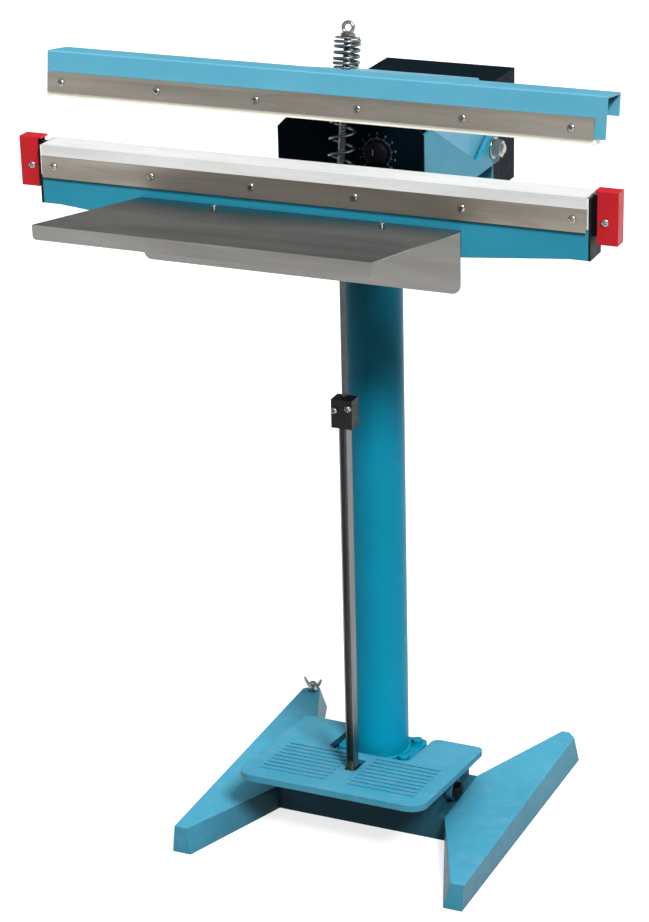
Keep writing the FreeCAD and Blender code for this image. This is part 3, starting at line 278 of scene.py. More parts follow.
def laminated(name, colour):
    """Stacked iron sheets under varnish."""
    s = Shader(name)
    y = s.node("ShaderNodeSeparateXYZ", {"Vector": s.coords}).outputs[1]
    wave = s.math("SINE", s.math("MULTIPLY", y, 2 * math.pi / 0.001))
    s.set(base_color=s.mix(s.ramp(wave, -1, 1), colour, tuple(c * 0.5 for c in colour)),
          metallic=0.7, roughness=0.45, coat_weight=0.3, normal=s.bump(wave, 0.5, 0.0004))
    return s.mat


def circuit(name):
    """Green laminate with copper tracks under the mask."""
    s = Shader(name)
    cells = s.node("ShaderNodeTexVoronoi", {"Vector": s.coords, "Scale": 160.0},
                   distance="MANHATTAN", feature="F1").outputs["Distance"]
    track = s.ramp(cells, 0.42, 0.46)
    s.set(base_color=s.mix(track, (0.02, 0.13, 0.05), (0.05, 0.26, 0.09)), roughness=0.35,
          coat_weight=0.5, normal=s.bump(track, 0.2, 0.0002))
    return s.mat


def lens(name, colour):
    """Clear coloured plastic with fine rings inside."""
    s = Shader(name)
    ribs = s.node("ShaderNodeTexWave", {"Vector": s.coords, "Scale": 320.0},
                  wave_type="RINGS").outputs["Fac"]
    s.set(base_color=colour, roughness=0.12, transmission_weight=0.55, coat_weight=0.6,
          normal=s.bump(ribs, 0.25, 0.0004))
    return s.mat


MATERIALS = {
    "stand_paint": enamel("stand_enamel", (0.075, 0.375, 0.53), (0.055, 0.32, 0.475), cast=0.28,
                          gloss=0.14, coat=0.04),
    # Painted shade: a darker copy of the stand's enamel for the crossbar, which sits in shade under
    # the pedal.
    "crossbar_paint_in_shade": enamel("crossbar_enamel_painted_shade", (0.030, 0.17, 0.25), (0.022, 0.14, 0.21),
                             cast=0.28, gloss=0.1, coat=0.02),
    # Painted shade: a deeper copy of the machine's blue enamel for the column, its flanges, bolts
    # and welds.
    "column_paint": enamel("column_enamel_painted_shade", (0.002, 0.27, 0.42), (0.001, 0.235, 0.37),
                           gloss=0.08, coat=0.02),
    "head_paint": enamel("head_enamel", (0.13, 0.47, 0.64), (0.11, 0.42, 0.585), gloss=0.16),
    # Painted shade: a darker copy of the head's enamel for the lower jaw, the head bracket and the
    # cheek welds.
    "head_paint_in_shade": enamel("head_enamel_painted_shade", (0.028, 0.32, 0.47), (0.022, 0.285, 0.425),
                        gloss=0.14, coat=0.05),
    "panel_black": powder("panel_powder", (0.0013, 0.0065, 0.0115)),
    "stainless": brushed("stainless_sheet", (0.245, 0.242, 0.228), 0, 0.34, 1.0,
                         (0.175, 0.168, 0.155)),
    "strip_steel": brushed("clamp_strip", (0.40, 0.375, 0.33), 0, 0.6, 1.2, (0.23, 0.20, 0.165),
                           drawn=0.2),
    "upright_steel": brushed("upright_channel", (0.22, 0.225, 0.225), 2, 0.26, 1.0,
                             (0.15, 0.15, 0.145)),
    "dark_steel": bright("oiled_steel", (0.085, 0.088, 0.086), 0.32),
    "black_oxide": bright("black_oxide", (0.022, 0.022, 0.023), 0.38),
    "zinc": bright("zinc_plate", (0.40, 0.40, 0.39), 0.24),
    "threaded": bright("rod_thread", (0.60, 0.60, 0.58), 0.2, (ROD_AXIS, 0.00125)),
    "spring_steel": bright("spring_wire", (0.26, 0.26, 0.26), 0.24),
    "aluminium_bar": brushed("milled_aluminium", (0.72, 0.73, 0.74), 0, 0.28, 0.7,
                             (0.60, 0.61, 0.62)),
    "ptfe": woven("coated_cloth", (0.86, 0.87, 0.87), (0.70, 0.71, 0.69), 0.0011),
    # Silicone: glow 0.45 paints light onto the strip, which sits in the clamp strip's shade.
    "silicone": plastic("silicone_rubber_painted_glow", (0.93, 0.90, 0.78), 0.5, 0.1, 300, 0.0, 0.15, 0.45),
    "red_plastic": plastic("red_moulding", (0.66, 0.006, 0.016), 0.36, 0.08, 600, 0.08, level=0.22),
    "black_plastic": plastic("black_moulding", (0.006, 0.006, 0.008), 0.42, 0.15, level=0.12),
    "nichrome": bright("nichrome_ribbon", (0.42, 0.38, 0.34), 0.28),
    "brass": bright("turned_brass", (0.66, 0.45, 0.18), 0.22),
    "board": circuit("timer_laminate"),
    "lamp_red": lens("pilot_lens", (0.75, 0.03, 0.015)),
    "core_steel": laminated("lamination_stack", (0.12, 0.12, 0.13)),
    "coil_wrap": woven("coil_tape", (0.62, 0.45, 0.12), (0.45, 0.30, 0.07), 0.002),
    "ink": plastic("dial_ink", (0.30, 0.31, 0.31), 0.5, 0.02),
}


# ---- geometry helpers ----------------------------------------------------------------------

def plain_normals():
    """Geometry nodes that drop stored normals, shade smooth and keep edges over 32 degrees sharp."""
    group = bpy.data.node_groups.new("plain_normals", "GeometryNodeTree")
    group.interface.new_socket("Geometry", in_out="INPUT", socket_type="NodeSocketGeometry")
    group.interface.new_socket("Geometry", in_out="OUTPUT", socket_type="NodeSocketGeometry")
    start = group.nodes.new("NodeGroupInput")
    end = group.nodes.new("NodeGroupOutput")
    angle = group.nodes.new("GeometryNodeInputMeshEdgeAngle")
    above = group.nodes.new("FunctionNodeCompare")
    above.data_type = "FLOAT"
    above.operation = "GREATER_THAN"
    above.inputs[1].default_value = math.radians(32)
    smooth = group.nodes.new("GeometryNodeSetShadeSmooth")
    normal = group.nodes.new("GeometryNodeSetMeshNormal")
    normal.mode = "SHARPNESS"
    normal.inputs["Remove Custom"].default_value = True
    group.links.new(angle.outputs[0], above.inputs[0])
    group.links.new(start.outputs[0], smooth.inputs[0])
    group.links.new(smooth.outputs[0], normal.inputs[0])
    group.links.new(above.outputs[0], normal.inputs["Edge Sharpness"])
    group.links.new(normal.outputs[0], end.inputs[0])
    return group


PLAIN_NORMALS = plain_normals()


def soften(obj, width, segments=3):
    """Rounds the outer edges of a mesh and leaves its flats flat."""
    merge = obj.modifiers.new("weld", "WELD")
    merge.merge_threshold = 2e-6
    join = obj.modifiers.new("join_flats", "DECIMATE")
    join.decimate_type = "DISSOLVE"
    join.angle_limit = math.radians(0.6)
    shade = obj.modifiers.new("normals", "NODES")
    shade.node_group = PLAIN_NORMALS
    if width:
        bevel = obj.modifiers.new("edge", "BEVEL")
        bevel.width = width
        bevel.segments = segments
        bevel.limit_method = "ANGLE"
        bevel.angle_limit = math.radians(38)
        bevel.use_clamp_overlap = True
    flat = obj.modifiers.new("flats", "WEIGHTED_NORMAL")
    flat.mode = "FACE_AREA"
    flat.weight = 100
    flat.keep_sharp = True


def dress(node, material, width=0.0006, segments=2):
    """A CAD node that stays: its own shape, softened edges and a full material."""
    obj = NODES[node]
    for index in range(len(obj.data.materials)):
        obj.data.materials[index] = MATERIALS[material]
    soften(obj, width, segments)


def linked(name, bm):
    """A new object with the built mesh, in the scene."""
    mesh = bpy.data.meshes.new(name)
    bm.normal_update()
    bm.to_mesh(mesh)
    bm.free()
    obj = bpy.data.objects.new(name, mesh)
    bpy.context.scene.collection.objects.link(obj)
    return obj


def new_piece(name, bm, body, slot, material=None, smooth=True):
    """A detailed piece on a body; a piece that blends two bodies has none."""
    obj = linked(name, bm)
    obj.data.materials.append(MATERIALS[material or slot])
    if smooth:
        obj.data.shade_smooth()
        obj.data.set_sharp_from_angle(angle=math.radians(35))
    if body:
        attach(obj, body)
    return obj


def islands(node):
    """The vertices of each separate solid of a CAD node."""
    mesh = NODES[node].data
    places = [tuple(round(c, 6) for c in v.co) for v in mesh.vertices]
    parent = {p: p for p in places}

    def root(p):
        while parent[p] != p:
            parent[p] = parent[parent[p]]
            p = parent[p]
        return p

    for face in mesh.polygons:
        first = root(places[face.vertices[0]])
        for index in face.vertices[1:]:
            parent[root(places[index])] = first
    groups = {}
    for p in parent:
        groups.setdefault(root(p), []).append(Vector(p))
    return sorted(groups.values(), key=lambda g: tuple(sum((v for v in g), Vector()) / len(g)))


def end_discs(node, outward):
    """Centre and radius of the flat end that each solid of a node turns outward."""
    outward = Vector(outward).normalized()
    side = outward.orthogonal().normalized()
    up = outward.cross(side)
    found = []
    for points in islands(node):
        top = max(p.dot(outward) for p in points)
        rim = [p for p in points if p.dot(outward) > top - 1e-5]
        a = [p.dot(side) for p in rim]
        b = [p.dot(up) for p in rim]
        centre = (side * (min(a) + max(a)) + up * (min(b) + max(b))) / 2 + outward * top
        found.append((centre, (max(a) - min(a)) / 2))
    return found


def middle(node):
    low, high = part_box(node)
    return (Vector(low) + Vector(high)) / 2


def pointing(outward, at):
    """A matrix whose Z axis points outward, at a place."""
    return Matrix.Translation(at) @ Vector(outward).to_track_quat("Z", "Y").to_matrix().to_4x4()


def turns(steps):
    """Evenly spaced angles round a circle."""
    return [2 * math.pi * k / steps for k in range(steps)]


def polar(bm, place, radius, angle, level):
    return bm.verts.new(place @ Vector((radius * math.cos(angle), radius * math.sin(angle), level)))


def rings_to_faces(bm, rings, closed=False):
    """Joins rings of the same count; a ring of one vertex closes a fan."""
    pairs = list(zip(rings, rings[1:])) + ([(rings[-1], rings[0])] if closed else [])
    for low, high in pairs:
        for k in range(max(len(low), len(high))):
            quad = [low[k % len(low)], low[(k + 1) % len(low)],
                    high[(k + 1) % len(high)], high[k % len(high)]]
            corners = list(dict.fromkeys(quad))
            if len(corners) > 2:
                bm.faces.new(corners)


def turned(bm, profile, place, steps=32, flute=None):
    """Turns a profile of (radius, height) about local Z; flute gives a factor at an angle."""
    rings = []
    for radius, height in profile:
        if radius < 1e-7:
            rings.append([polar(bm, place, 0, 0, height)])
            continue
        rings.append([
            polar(bm, place, radius * (flute(radius, height, angle) if flute else 1), angle, height)
            for angle in turns(steps)])
    rings_to_faces(bm, rings)


def cross_head(bm, place, radius, height, steps=48, spin=0.0):
    """A pan head with a pressed cross recess."""
    rings = [[polar(bm, place, radius, angle, 0) for angle in turns(steps)]]
    bm.faces.new(rings[0][::-1])
    count = 12
    for r in range(count, -1, -1):
        share = r / count
        row = []
        for angle in turns(steps if r else 1):
            u = radius * share * math.cos(angle - spin)
            v = radius * share * math.sin(angle - spin)
            arm = max(0.0, 1 - max(min(abs(u), abs(v)) / (0.17 * radius),
                                   max(abs(u), abs(v)) / (0.62 * radius)) ** 6)
            level = height * (1 - share ** 4 * 0.55 - min(1.0, arm * 1.6) * 0.62)
            row.append(polar(bm, place, radius * share, angle, level))
        rings.append(row)
    rings_to_faces(bm, rings)


def screws(node, outward, height, body):
    """Cross-head screws in place of a node's plain ones, each turned to its own angle."""
    outward = Vector(outward).normalized()
    bm = bmesh.new()
    for number, (centre, radius) in enumerate(end_discs(node, outward)):
        place = pointing(outward, centre - outward * height)
        cross_head(bm, place, radius, height, spin=0.7 + 1.9 * number)
        turned(bm, [(0, -0.009), (radius * 0.5, -0.009), (radius * 0.5, 0.0)], place, 20)
    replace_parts(new_piece(node + "_cross_head", bm, body, "zinc"), node)


def hexed(bm, place, across, low, high, bore=0.0, both=False, steps=72, spin=0.0):
    """A hexagon prism with the curved chamfer of a turned hexagon; across is its corner radius."""
    flat = across * math.cos(math.pi / 6)
    inner = flat * 0.97
    slope = math.tan(math.radians(30))

    def circle(radius, level):
        return [polar(bm, place, radius, angle + spin, level) for angle in turns(steps)]

    def outline(level, chamfer):
        made = []
        for angle in turns(steps):
            reach = flat / math.cos((angle % (math.pi / 3)) - math.pi / 6)
            drop = chamfer * max(0.0, reach - inner) * slope
            made.append(polar(bm, place, reach, angle + spin, level - drop))
        return made

    rings = [circle(bore, low) if bore else [polar(bm, place, 0, 0, low)]]
    if both:
        rings.append(circle(inner, low))
    rings += [outline(low, -1 if both else 0), outline(high, 1), circle(inner, high)]
    if bore:
        rings += [circle(bore * 1.12, high), circle(bore, high - bore * 0.12)]
    else:
        rings.append([polar(bm, place, 0, 0, high)])
    rings_to_faces(bm, rings, closed=bore > 0)


def threaded(bm, place, radius, low, high, pitch=0.00125, steps=24):
    """A bolt shank with thread ridges and a chamfered tip."""
    count = max(2, int((high - low) / pitch * 2))
    profile = [(0, low), (radius * 0.8, low)]
    for k in range(count + 1):
        level = low + 0.0006 + (high - low - 0.0012) * k / count
        profile.append((radius * (1.0 if k % 2 else 0.88), level))
    profile += [(radius * 0.8, high), (0, high)]
    turned(bm, profile, place, steps)


def washer(bm, place, bore, radius, steps=32):
    """A thin turned washer, 1.2 mm thick with an eased rim."""
    turned(bm, [(bore, 0), (radius, 0), (radius, 0.001), (radius - 0.0003, 0.0012),
                (bore, 0.0012)], place, steps)


def add_block(bm, centre, size, turn=None):
    made = bmesh.ops.create_cube(bm, size=1.0)["verts"]
    shape = Matrix.Diagonal((*size, 1))
    place = Matrix.Translation(centre) @ (turn or Matrix()) @ shape
    bmesh.ops.transform(bm, matrix=place, verts=made)


def tube(bm, points, radius, steps=14):
    """A round wire along points, with frames carried along it and flat ends."""
    tangents = [(b - a).normalized() for a, b in zip(points[:-1], points[1:])]
    tangents.append(tangents[-1])
    side = tangents[0].orthogonal().normalized()
    rings = []
    for point, tangent in zip(points, tangents):
        side = (side - tangent * side.dot(tangent)).normalized()
        other = tangent.cross(side)
        rings.append([bm.verts.new(point + radius * (math.cos(a) * side + math.sin(a) * other))
                      for a in turns(steps)])
    rings_to_faces(bm, rings)
    bm.faces.new(rings[0][::-1])
    bm.faces.new(rings[-1])


def coil(node, foot, long, count, body):
    """A compression spring on the spring rod, with closed ends, in place of a node's."""
    side = ROD_AXIS.orthogonal().normalized()
    other = ROD_AXIS.cross(side)
    closed = 3 * WIRE_RADIUS
    points = []
    whole = count + 2
    steps = int(whole * 40)
    for k in range(steps + 1):
        turn = whole * k / steps
        if turn < 1:
            level = WIRE_RADIUS + turn * 2 * WIRE_RADIUS
        elif turn > whole - 1:
            level = long - WIRE_RADIUS - (whole - turn) * 2 * WIRE_RADIUS
        else:
            level = closed + (turn - 1) / count * (long - 2 * closed)
        angle = 2 * math.pi * turn
        points.append(foot + ROD_AXIS * level + COIL_RADIUS * (
            math.cos(angle) * side + math.sin(angle) * other))
    bm = bmesh.new()
    tube(bm, points, WIRE_RADIUS)
    piece = new_piece(node + "_coil", bm, body, "spring_steel")
    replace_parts(piece, node)
    return piece


# ---- camera, light, floor ------------------------------------------------------------------

def make_camera():
    """A long lens from the front right, looking down a little, held slightly out of level."""
    yaw, pitch, roll = math.radians(24.29), math.radians(22.18), math.radians(-1.47)
    ahead = Vector((-math.sin(yaw) * math.cos(pitch), math.cos(yaw) * math.cos(pitch),
                    -math.sin(pitch)))
    level = Vector((math.cos(yaw), math.sin(yaw), 0))
    upward = level.cross(ahead)
    right = level * math.cos(roll) + upward * math.sin(roll)
    top = upward * math.cos(roll) - level * math.sin(roll)
    data = bpy.data.cameras.new("camera")
    data.lens = 102.73
    data.sensor_width = 36
    data.clip_end = 60
    data.shift_x = 0.00271
    camera = bpy.data.objects.new("camera", data)
    turn = Matrix((right, top, -ahead)).transposed().to_4x4()
    camera.matrix_world = Matrix.Translation((1.135, -2.671, 1.644)) @ turn
    bpy.context.scene.collection.objects.link(camera)
    bpy.context.scene.camera = camera


def add_light(name, kind, power, place):
    data = bpy.data.lights.new(name, kind)
    data.energy = power
    light = bpy.data.objects.new(name, data)
    light.matrix_world = place
    bpy.context.scene.collection.objects.link(light)
    return data


def area_light(name, place, target, size, power):
    data = add_light(name, "AREA", power, pointing(Vector(place) - Vector(target), place))
    data.shape = "RECTANGLE"
    data.size, data.size_y = size


def far_light(name, toward, strength, width):
    """A distant soft light from one direction; width is its angle in the sky, in degrees."""
    data = add_light(name, "SUN", strength, pointing(toward, (0, 0, 3)))
    data.angle = math.radians(width)


def glowing(obj, grain, rough, shine, glow):
    """A pale matt sheet that is lifted to near white by its own faint glow."""
    s = Shader(obj.name + "_sheet")
    s.set(base_color=s.mix(s.noise(grain, 3), (0.52, 0.52, 0.52), (0.50, 0.50, 0.50)),
          roughness=rough, specular_ior_level=shine, emission_color=(1, 1, 1),
          emission_strength=glow)
    obj.data.materials.append(s.mat)


def make_floor():
    bm = bmesh.new()
    bmesh.ops.create_grid(bm, x_segments=1, y_segments=1, size=14)
    floor = linked("floor", bm)
    glowing(floor, 3, 0.7, 0.2, 0.74)
    floor.visible_diffuse = False

    bm = bmesh.new()
    turned(bm, [(13.5, -0.01), (13.5, 14.0), (10.0, 17.0), (0, 18.0)], Matrix(), 96)
    backdrop = linked("backdrop", bm)
    glowing(backdrop, 2, 0.9, 0.0, 0.95)
    for ray in ("diffuse", "glossy", "transmission", "shadow"):
        setattr(backdrop, "visible_" + ray, False)


def make_sky():
    """Soft light that is bright overhead and dark below the horizon."""
    world = bpy.data.worlds.new("studio")
    world.use_nodes = True
    tree = world.node_tree
    coords = tree.nodes.new("ShaderNodeTexCoord")
    split = tree.nodes.new("ShaderNodeSeparateXYZ")
    tree.links.new(coords.outputs["Generated"], split.inputs[0])
    height = tree.nodes.new("ShaderNodeMapRange")
    height.inputs["From Min"].default_value = -1
    tree.links.new(split.outputs[2], height.inputs["Value"])
    ramp = tree.nodes.new("ShaderNodeValToRGB")
    tree.links.new(height.outputs[0], ramp.inputs[0])
    stops = [(0.0, 0.04), (0.49, 0.05), (0.58, 0.10), (0.76, 0.85), (1.0, 1.0)]
    ramp.color_ramp.elements.remove(ramp.color_ramp.elements[1])
    for number, (place, level) in enumerate(stops):
        stop = ramp.color_ramp.elements[0] if number == 0 else ramp.color_ramp.elements.new(place)
        stop.position = place
        stop.color = (level, level * 1.01, level * 1.03, 1)
    tree.links.new(ramp.outputs[0], tree.nodes["Background"].inputs[0])
    tree.nodes["Background"].inputs[1].default_value = 0.46
    bpy.context.scene.world = world


def make_studio():
    make_floor()
    make_sky()
    bpy.context.scene.view_settings.view_transform = "Standard"
    far_light("key", (0.68, -0.70, 1.0), 3.6, 14)
    far_light("front", (0.2, -0.9, 0.7), 0.22, 30)
    area_light("fill", (-2.6, -2.4, 1.5), (0, 0, 0.6), (1.4, 1.4), 5)
    area_light("back", (0.8, 2.6, 2.2), (0, 0, 0.7), (1.4, 1.0), 16)


# ---- pieces --------------------------------------------------------------------------------

def dress_nodes():
    for node in ("left_foot", "right_foot"):
        dress(node, "stand_paint", 0.0035, 4)
    dress("crossbar", "crossbar_paint_in_shade", 0.002, 3)
    dress("pedal", "stand_paint", 0.0011, 3)
    dress("column", "column_paint", 0.0006, 2)
    dress("column_flanges", "column_paint", 0.001, 2)
    dress("upper_arm", "head_paint", 0.0014, 3)
    dress("head_bracket", "head_paint_in_shade", 0.0014, 3)
    dress("upper_jaw_body", "head_paint", 0.0008, 2)
    dress("lower_jaw_body", "head_paint_in_shade", 0.0008, 2)
    for node in ("front_panel", "rear_cover", "rear_plate"):
        dress(node, "panel_black", 0.0007, 2)
    dress("tray", "stainless", 0.0003, 2)
    for node in ("lower_clamp_strip", "upper_clamp_strip", "rear_clamp_strip"):
        dress(node, "strip_steel", 0.0003, 2)
    dress("pull_bar", "upright_steel", 0.0004, 2)
    for node in ("heating_bar", "silicone_holder"):
        dress(node, "aluminium_bar", 0.0005, 2)
    for node in ("pivot_washers", "tray_studs", "spring_seats", "fork_pin", "rod_pin"):
        dress(node, "zinc", 0.0005, 2)
    dress("pull_rod", "dark_steel", 0.0006, 3)
    for node in ("rod_fork", "rod_clamp"):
        dress(node, "black_oxide", 0.0008, 3)
    dress("eye_rod", "threaded", 0.0004, 2)
    dress("silicone_strip", "silicone", 0.0012, 3)
    for node in ("left_end_cap", "right_end_cap"):
        dress(node, "red_plastic", 0.0012, 3)
    for node in ("terminal_blocks", "switch_housing", "switch_rocker"):
        dress(node, "black_plastic", 0.0005, 2)
    dress("element_ribbon", "nichrome", 0)
    dress("ptfe_cover", "ptfe", 0)
    dress("pivot_bushes", "brass", 0.0004)
    dress("timer_board", "board", 0)
    dress("transformer_core", "core_steel", 0.0005)
    dress("transformer_coil", "coil_wrap", 0.002, 3)


def make_screws():
    screws("lower_strip_screws", FORWARD, SMALL_HEAD, "base")
    tilt = math.radians(8)
    screws("upper_strip_screws", (0, -math.cos(tilt), math.sin(tilt)), SMALL_HEAD, "upper_jaw")
    screws("end_cap_screws", FORWARD, SMALL_HEAD, "base")
    screws("tray_screws", FORWARD, 0.003, "base")
    screws("cover_screws", BACKWARD, SMALL_HEAD, "base")
    screws("clamp_screws", FORWARD, 0.004, "pull_rod")


def make_flange_bolts():
    """Hexagon bolts on washers, in both flanges of the column."""
    radius = 0.004
    bm = bmesh.new()
    for number, (top, _) in enumerate(end_discs("flange_bolts", (0, 0, 1))):
        head = top.z - 0.006
        place = Matrix.Translation((top.x, top.y, head))
        hexed(bm, place, 0.007, 0.0012, 0.006, spin=0.4 * number)
        washer(bm, place, radius, 0.0085)
        threaded(bm, place, radius, -0.018, 0)
    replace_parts(new_piece("flange_hex_bolts", bm, "base", "zinc", "column_paint"), "flange_bolts")


def make_pedal_shaft():
    """The shaft that the pedal turns on, with a threaded end and a nut at each side."""
    radius = 0.005
    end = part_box("pedal_shaft")[1][0]
    nut_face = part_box("shaft_nuts")[1][0] - 0.008
    bm = bmesh.new()
    for side in (-1, 1):
        place = pointing((side, 0, 0), PEDAL_AXIS + Vector((side * nut_face, 0, 0)))
        hexed(bm, place, 0.010, 0.0012, 0.008, radius + 0.00005, spin=0.3)
        washer(bm, place, radius + 0.0002, 0.0115, 40)
    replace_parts(new_piece("shaft_hex_nuts", bm, "base", "zinc", "black_oxide"), "shaft_nuts")

    bm = bmesh.new()
    half = [(radius, end - 0.0008), (radius - 0.0008, end), (0, end)]
    profile = [(reach, -along) for reach, along in half[::-1]] + half
    turned(bm, profile, pointing((1, 0, 0), PEDAL_AXIS), 40)
    for side in (-1, 1):
        thread = pointing((side, 0, 0), PEDAL_AXIS + Vector((side * (nut_face - 0.0008), 0, 0)))
        threaded(bm, thread, radius + 0.00002, 0, 0.0104)
    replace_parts(new_piece("pedal_shaft_turned", bm, "base", "zinc", "black_oxide"), "pedal_shaft")


def make_pivot_bolt():
    """The bolt and nut that the upper jaw's arm turns on."""
    radius = 0.006
    corner = 0.011
    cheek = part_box("pivot_nut")[0][0]
    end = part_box("pivot_bolt")[1][0]
    bm = bmesh.new()
    axis = pointing((1, 0, 0), JAW_AXIS)
    hexed(bm, pointing((-1, 0, 0), JAW_AXIS - Vector((cheek, 0, 0))), corner, 0, 0.007, spin=0.2)
    turned(bm, [(radius, -cheek - 0.001), (radius, cheek - 0.001)], axis, 40)
    threaded(bm, axis, radius - 0.00002, cheek - 0.002, end, 0.0015, 32)
    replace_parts(new_piece("pivot_hex_bolt", bm, "base", "zinc"), "pivot_bolt")
    bm = bmesh.new()
    hexed(bm, pointing((1, 0, 0), JAW_AXIS + Vector((cheek, 0, 0))), corner, 0, 0.010, radius,
          spin=0.5)
    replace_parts(new_piece("pivot_hex_nut", bm, "base", "zinc"), "pivot_nut")


def make_ring_nut():
    """The lifting-eye nut that sets the pressure: a hexagon foot with a round ring on it."""
    ring_middle, wire = 0.0059, 0.0021
    foot = ROD_EYE + ROD_AXIS * (SPRING_SEAT + SPRING_LONG + 0.002)
    place = Matrix.Translation(foot) @ Matrix.Rotation(-ROD_LEAN, 4, "X")
    bm = bmesh.new()
    hexed(bm, place, 0.009, 0, 0.004, 0.0041, both=True)
    loop = []
    for turn in turns(64):
        loop.append([bm.verts.new(place @ Vector((
            (ring_middle + wire * math.cos(a)) * math.cos(turn), 0.0025 * math.sin(a),
            0.010 + (ring_middle + wire * math.cos(a)) * math.sin(turn)))) for a in turns(16)])
    rings_to_faces(bm, loop, closed=True)
    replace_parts(new_piece("pressure_ring_nut", bm, "spring_rod", "zinc"), "pressure_nut")


def make_levelling_screw():
    """A cast wing screw: threaded shank, hub and two swept wings."""
    centre = Matrix.Translation((LEVELLING.x, LEVELLING.y, 0))
    bm = bmesh.new()
    threaded(bm, centre, 0.004, 0.0, 0.038)
    turned(bm, [(0, 0.0325), (0.0058, 0.0325), (0.0062, 0.036), (0.0055, 0.0415), (0.004, 0.044),
                (0, 0.0445)], centre, 36)
    for side in (-1, 1):
        rings = []
        for k in range(13):
            t = k / 12
            along = 0.003 + 0.0095 * t
            level = 0.0375 + 0.0118 * t ** 1.6
            tall = 0.0036 * (1 - 0.25 * t) * (1 if t < 0.9 else 0.75)
            thick = 0.0014 * (1 - 0.2 * t) * (1 if t < 0.9 else 0.6)
            rings.append([bm.verts.new(centre @ Vector((
                side * (along - 0.45 * tall * math.sin(a) * t), thick * math.cos(a),
                level + tall * math.sin(a)))) for a in turns(16)])
        rings_to_faces(bm, rings)
        bm.faces.new(rings[0])
        bm.faces.new(rings[-1])
    bmesh.ops.recalc_face_normals(bm, faces=bm.faces)
    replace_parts(new_piece("wing_screw", bm, "levelling_screw", "zinc"), "levelling_screw")


def make_timer_knob():
    """A fluted timer knob with a pointer line."""
    def flute(radius, level, angle):
        on_grip = -0.0105 < level < -0.0008
        return 1 - 0.025 * (1 + math.cos(24 * angle)) if on_grip else 1

    place = pointing(FORWARD, KNOB)
    bm = bmesh.new()
    turned(bm, [(0.0, -0.0146), (0.0128, -0.0146), (0.0130, -0.0140), (0.0128, -0.0115),
                (0.0112, -0.0108), (0.0104, -0.0100), (0.0098, -0.0012), (0.0092, -0.0003),
                (0.0080, 0.0), (0.0, -0.0002)], place, 192, flute)
    turned(bm, [(0.003, -0.033), (0.003, -0.0145)], place, 24)
    bmesh.ops.recalc_face_normals(bm, faces=bm.faces)
    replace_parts(new_piece("fluted_knob", bm, "timer_knob", "black_plastic"), "timer_knob")

    bm = bmesh.new()
    add_block(bm, KNOB + Vector((0, -0.00005, 0.004)), (0.0012, 0.00012, 0.0068))
    new_piece("knob_pointer", bm, "timer_knob", "ptfe", "ink")


def on_panel(x, z, half_thick):
    """The middle of a layer of ink at a place on the front panel."""
    return Vector((x, PANEL_FACE - 0.00001 - half_thick, z))


def on_dial(share, reach, half_thick):
    """The angle and the place of ink at a share of the dial's sweep."""
    angle = math.radians(-135 + 270 * share)
    return angle, on_panel(KNOB.x + reach * math.sin(angle), KNOB.z + reach * math.cos(angle),
                           half_thick)


def make_dial():
    """Eleven numbered marks with finer ones between, and the two marks of the switch."""
    bm = bmesh.new()
    for count, sweep, reach, wide, long in ((11, 10, 0.0175, 0.0006, 0.003),
                                            (50, 50, 0.0167, 0.0003, 0.0014)):
        for number in range(count):
            angle, centre = on_dial(number / sweep, reach, 0.00005)
            add_block(bm, centre, (wide, 0.0001, long), Matrix.Rotation(angle, 4, (0, 1, 0)))
    new_piece("dial_ticks", bm, "base", "ptfe", "ink", smooth=False)
    for number in range(11):
        _, centre = on_dial(number / 10, 0.0222, PRINT_HALF)
        printed(f"dial_number_{number}", str(number), 0.0042, centre)
    for name, words, above in (("switch_on", "I", 0.0102), ("switch_off", "O", -0.0102)):
        printed(name, words, 0.0046, on_panel(SWITCH.x, SWITCH.z + above, PRINT_HALF))


def printed(name, words, size, centre):
    """Screen-printed characters standing on the front of the panel."""
    curve = bpy.data.curves.new(name, "FONT")
    curve.body = words
    curve.size = size
    curve.align_x = "CENTER"
    curve.align_y = "CENTER"
    curve.extrude = PRINT_HALF
    source = bpy.data.objects.new(name + "_line", curve)
    bpy.context.scene.collection.objects.link(source)
    bpy.context.view_layer.update()
    bm = bmesh.new()
    bm.from_mesh(source.to_mesh())
    source.to_mesh_clear()
    bpy.data.objects.remove(source)
    place = Matrix.Translation(centre) @ Matrix.Rotation(math.radians(90), 4, "X")
    bmesh.ops.transform(bm, matrix=place, verts=bm.verts)
    new_piece(name, bm, "base", "ptfe", "ink", smooth=False)


def make_pilot_lamp():
    """A domed lens in a turned bezel."""
    lamp = middle("pilot_lamp")
    place = pointing(FORWARD, (lamp.x, PANEL_FACE, lamp.z))
    bm = bmesh.new()
    dome = [(0.0044 * math.cos(a), 0.0006 + 0.0023 * math.sin(a))
            for a in [math.radians(9 * k) for k in range(10)]]
    turned(bm, [(0.0049, -0.014), (0.0049, 0.0)] + dome + [(0, 0.0029)], place, 48)
    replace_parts(new_piece("lamp_lens", bm, "base", "lamp_red"), "pilot_lamp")
    bm = bmesh.new()
    turned(bm, [(0.0046, 0.0014), (0.0050, 0.0018), (0.0060, 0.0014), (0.0065, 0.0004),
                (0.0065, 0.0), (0.0046, 0.0)], place, 48)
    new_piece("lamp_bezel", bm, "base", "zinc")


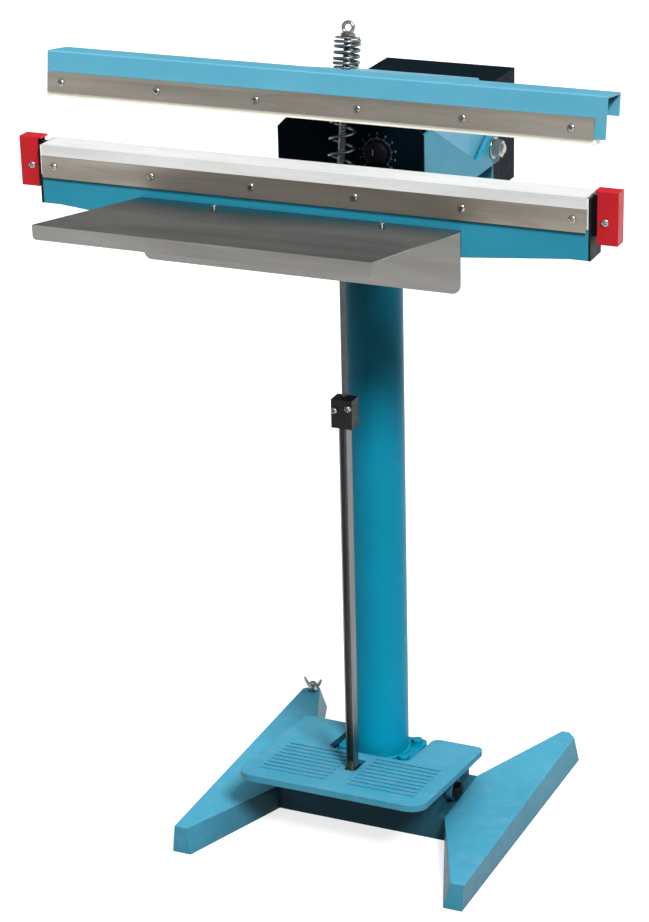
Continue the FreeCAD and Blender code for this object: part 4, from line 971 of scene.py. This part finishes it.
def make_rear_fittings():
    """The ribbed gland and the slotted fuse cap on the rear plate."""
    def rib(radius, level, angle):
        return 0.94 + 0.06 * abs(math.cos(6 * angle)) if radius > 0.006 else 1

    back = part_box("rear_plate")[1][1]
    gland = middle("cable_gland")
    place = pointing(BACKWARD, (gland.x, back, gland.z))
    bm = bmesh.new()
    hexed(bm, place, 0.009, 0.0, 0.0038, 0.0042, spin=0.1)
    turned(bm, [(0.0042, 0.0036), (0.0076, 0.0038), (0.0076, 0.0075), (0.0066, 0.0108),
                (0.0052, 0.0119), (0.0043, 0.0120), (0.0040, 0.0112), (0.0040, -0.006)],
           place, 120, rib)
    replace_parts(new_piece("ribbed_gland", bm, "base", "black_plastic"), "cable_gland")

    fuse = middle("fuse_holder")
    fuse.y = back
    place = pointing(BACKWARD, fuse)
    bm = bmesh.new()
    hexed(bm, place, 0.008, 0.0, 0.0025, spin=0.3)
    turned(bm, [(0.0058, 0.0), (0.0058, 0.0100), (0.0052, 0.0108), (0.0030, 0.0110),
                (0.0028, 0.0102), (0, 0.0102)], place, 48)
    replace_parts(new_piece("fuse_cap", bm, "base", "black_plastic"), "fuse_holder")
    bm = bmesh.new()
    add_block(bm, fuse + Vector((0, 0.0114, 0)), (0.0092, 0.0004, 0.0012))
    new_piece("fuse_slot", bm, "base", "zinc", "nichrome", smooth=False)


def bead(name, points, radius, slot, material, closed=True):
    """A hand-laid weld bead: a rippled, slightly wandering half-sunk string."""
    count = len(points)
    bm = bmesh.new()
    rings = []
    for k, point in enumerate(points):
        ahead = points[(k + 1) % count] if closed or k < count - 1 else point
        behind = points[k - 1] if closed or k else point
        along = (ahead - behind).normalized()
        side = along.cross(Vector((0.3, 0.2, 1))).normalized()
        upward = side.cross(along)
        reach = radius * (0.9 + 0.16 * math.sin(k * 1.5) + 0.12 * noise.noise(point * 160))
        rings.append([bm.verts.new(point + reach * (math.cos(a) * side + math.sin(a) * upward))
                      for a in turns(10)])
    rings_to_faces(bm, rings, closed)
    bmesh.ops.recalc_face_normals(bm, faces=bm.faces)
    new_piece(name, bm, "base", slot, material)


def make_welds():
    """Beads round both ends of the column and along the foot of both cheeks of the head."""
    foot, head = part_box("column")
    radius = head[0] + 0.0002
    for name, level, size in (("column_foot_weld", foot[2] + 0.0005, 0.0030),
                              ("column_head_weld", head[2] - 0.0008, 0.0026)):
        ring = [Vector((radius * math.cos(a), radius * math.sin(a), level)) for a in turns(150)]
        bead(name, ring, size, "column_paint", "column_paint")
    cheek, front, back, base = 0.0728, -0.026, 0.205, 0.786
    steps = int((back - front) / 0.0016)
    for name, side in (("left", -1), ("right", 1)):
        line = [Vector((side * cheek, front + (back - front) * k / steps, base))
                for k in range(steps + 1)]
        bead(name + "_cheek_weld", line, 0.0022, "head_paint", "head_paint_in_shade", closed=False)


def make_springs():
    coil("pressure_spring", ROD_EYE + ROD_AXIS * SPRING_SEAT, SPRING_LONG, 3, "spring_rod")
    spring = coil("return_spring", ROD_EYE + ROD_AXIS * 0.0216, 0.1576, 8, None)
    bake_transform(spring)


make_camera()
make_studio()
dress_nodes()
make_screws()
make_flange_bolts()
make_pedal_shaft()
make_pivot_bolt()
make_ring_nut()
make_levelling_screw()
make_timer_knob()
make_dial()
make_pilot_lamp()
make_rear_fittings()
make_welds()
make_springs()
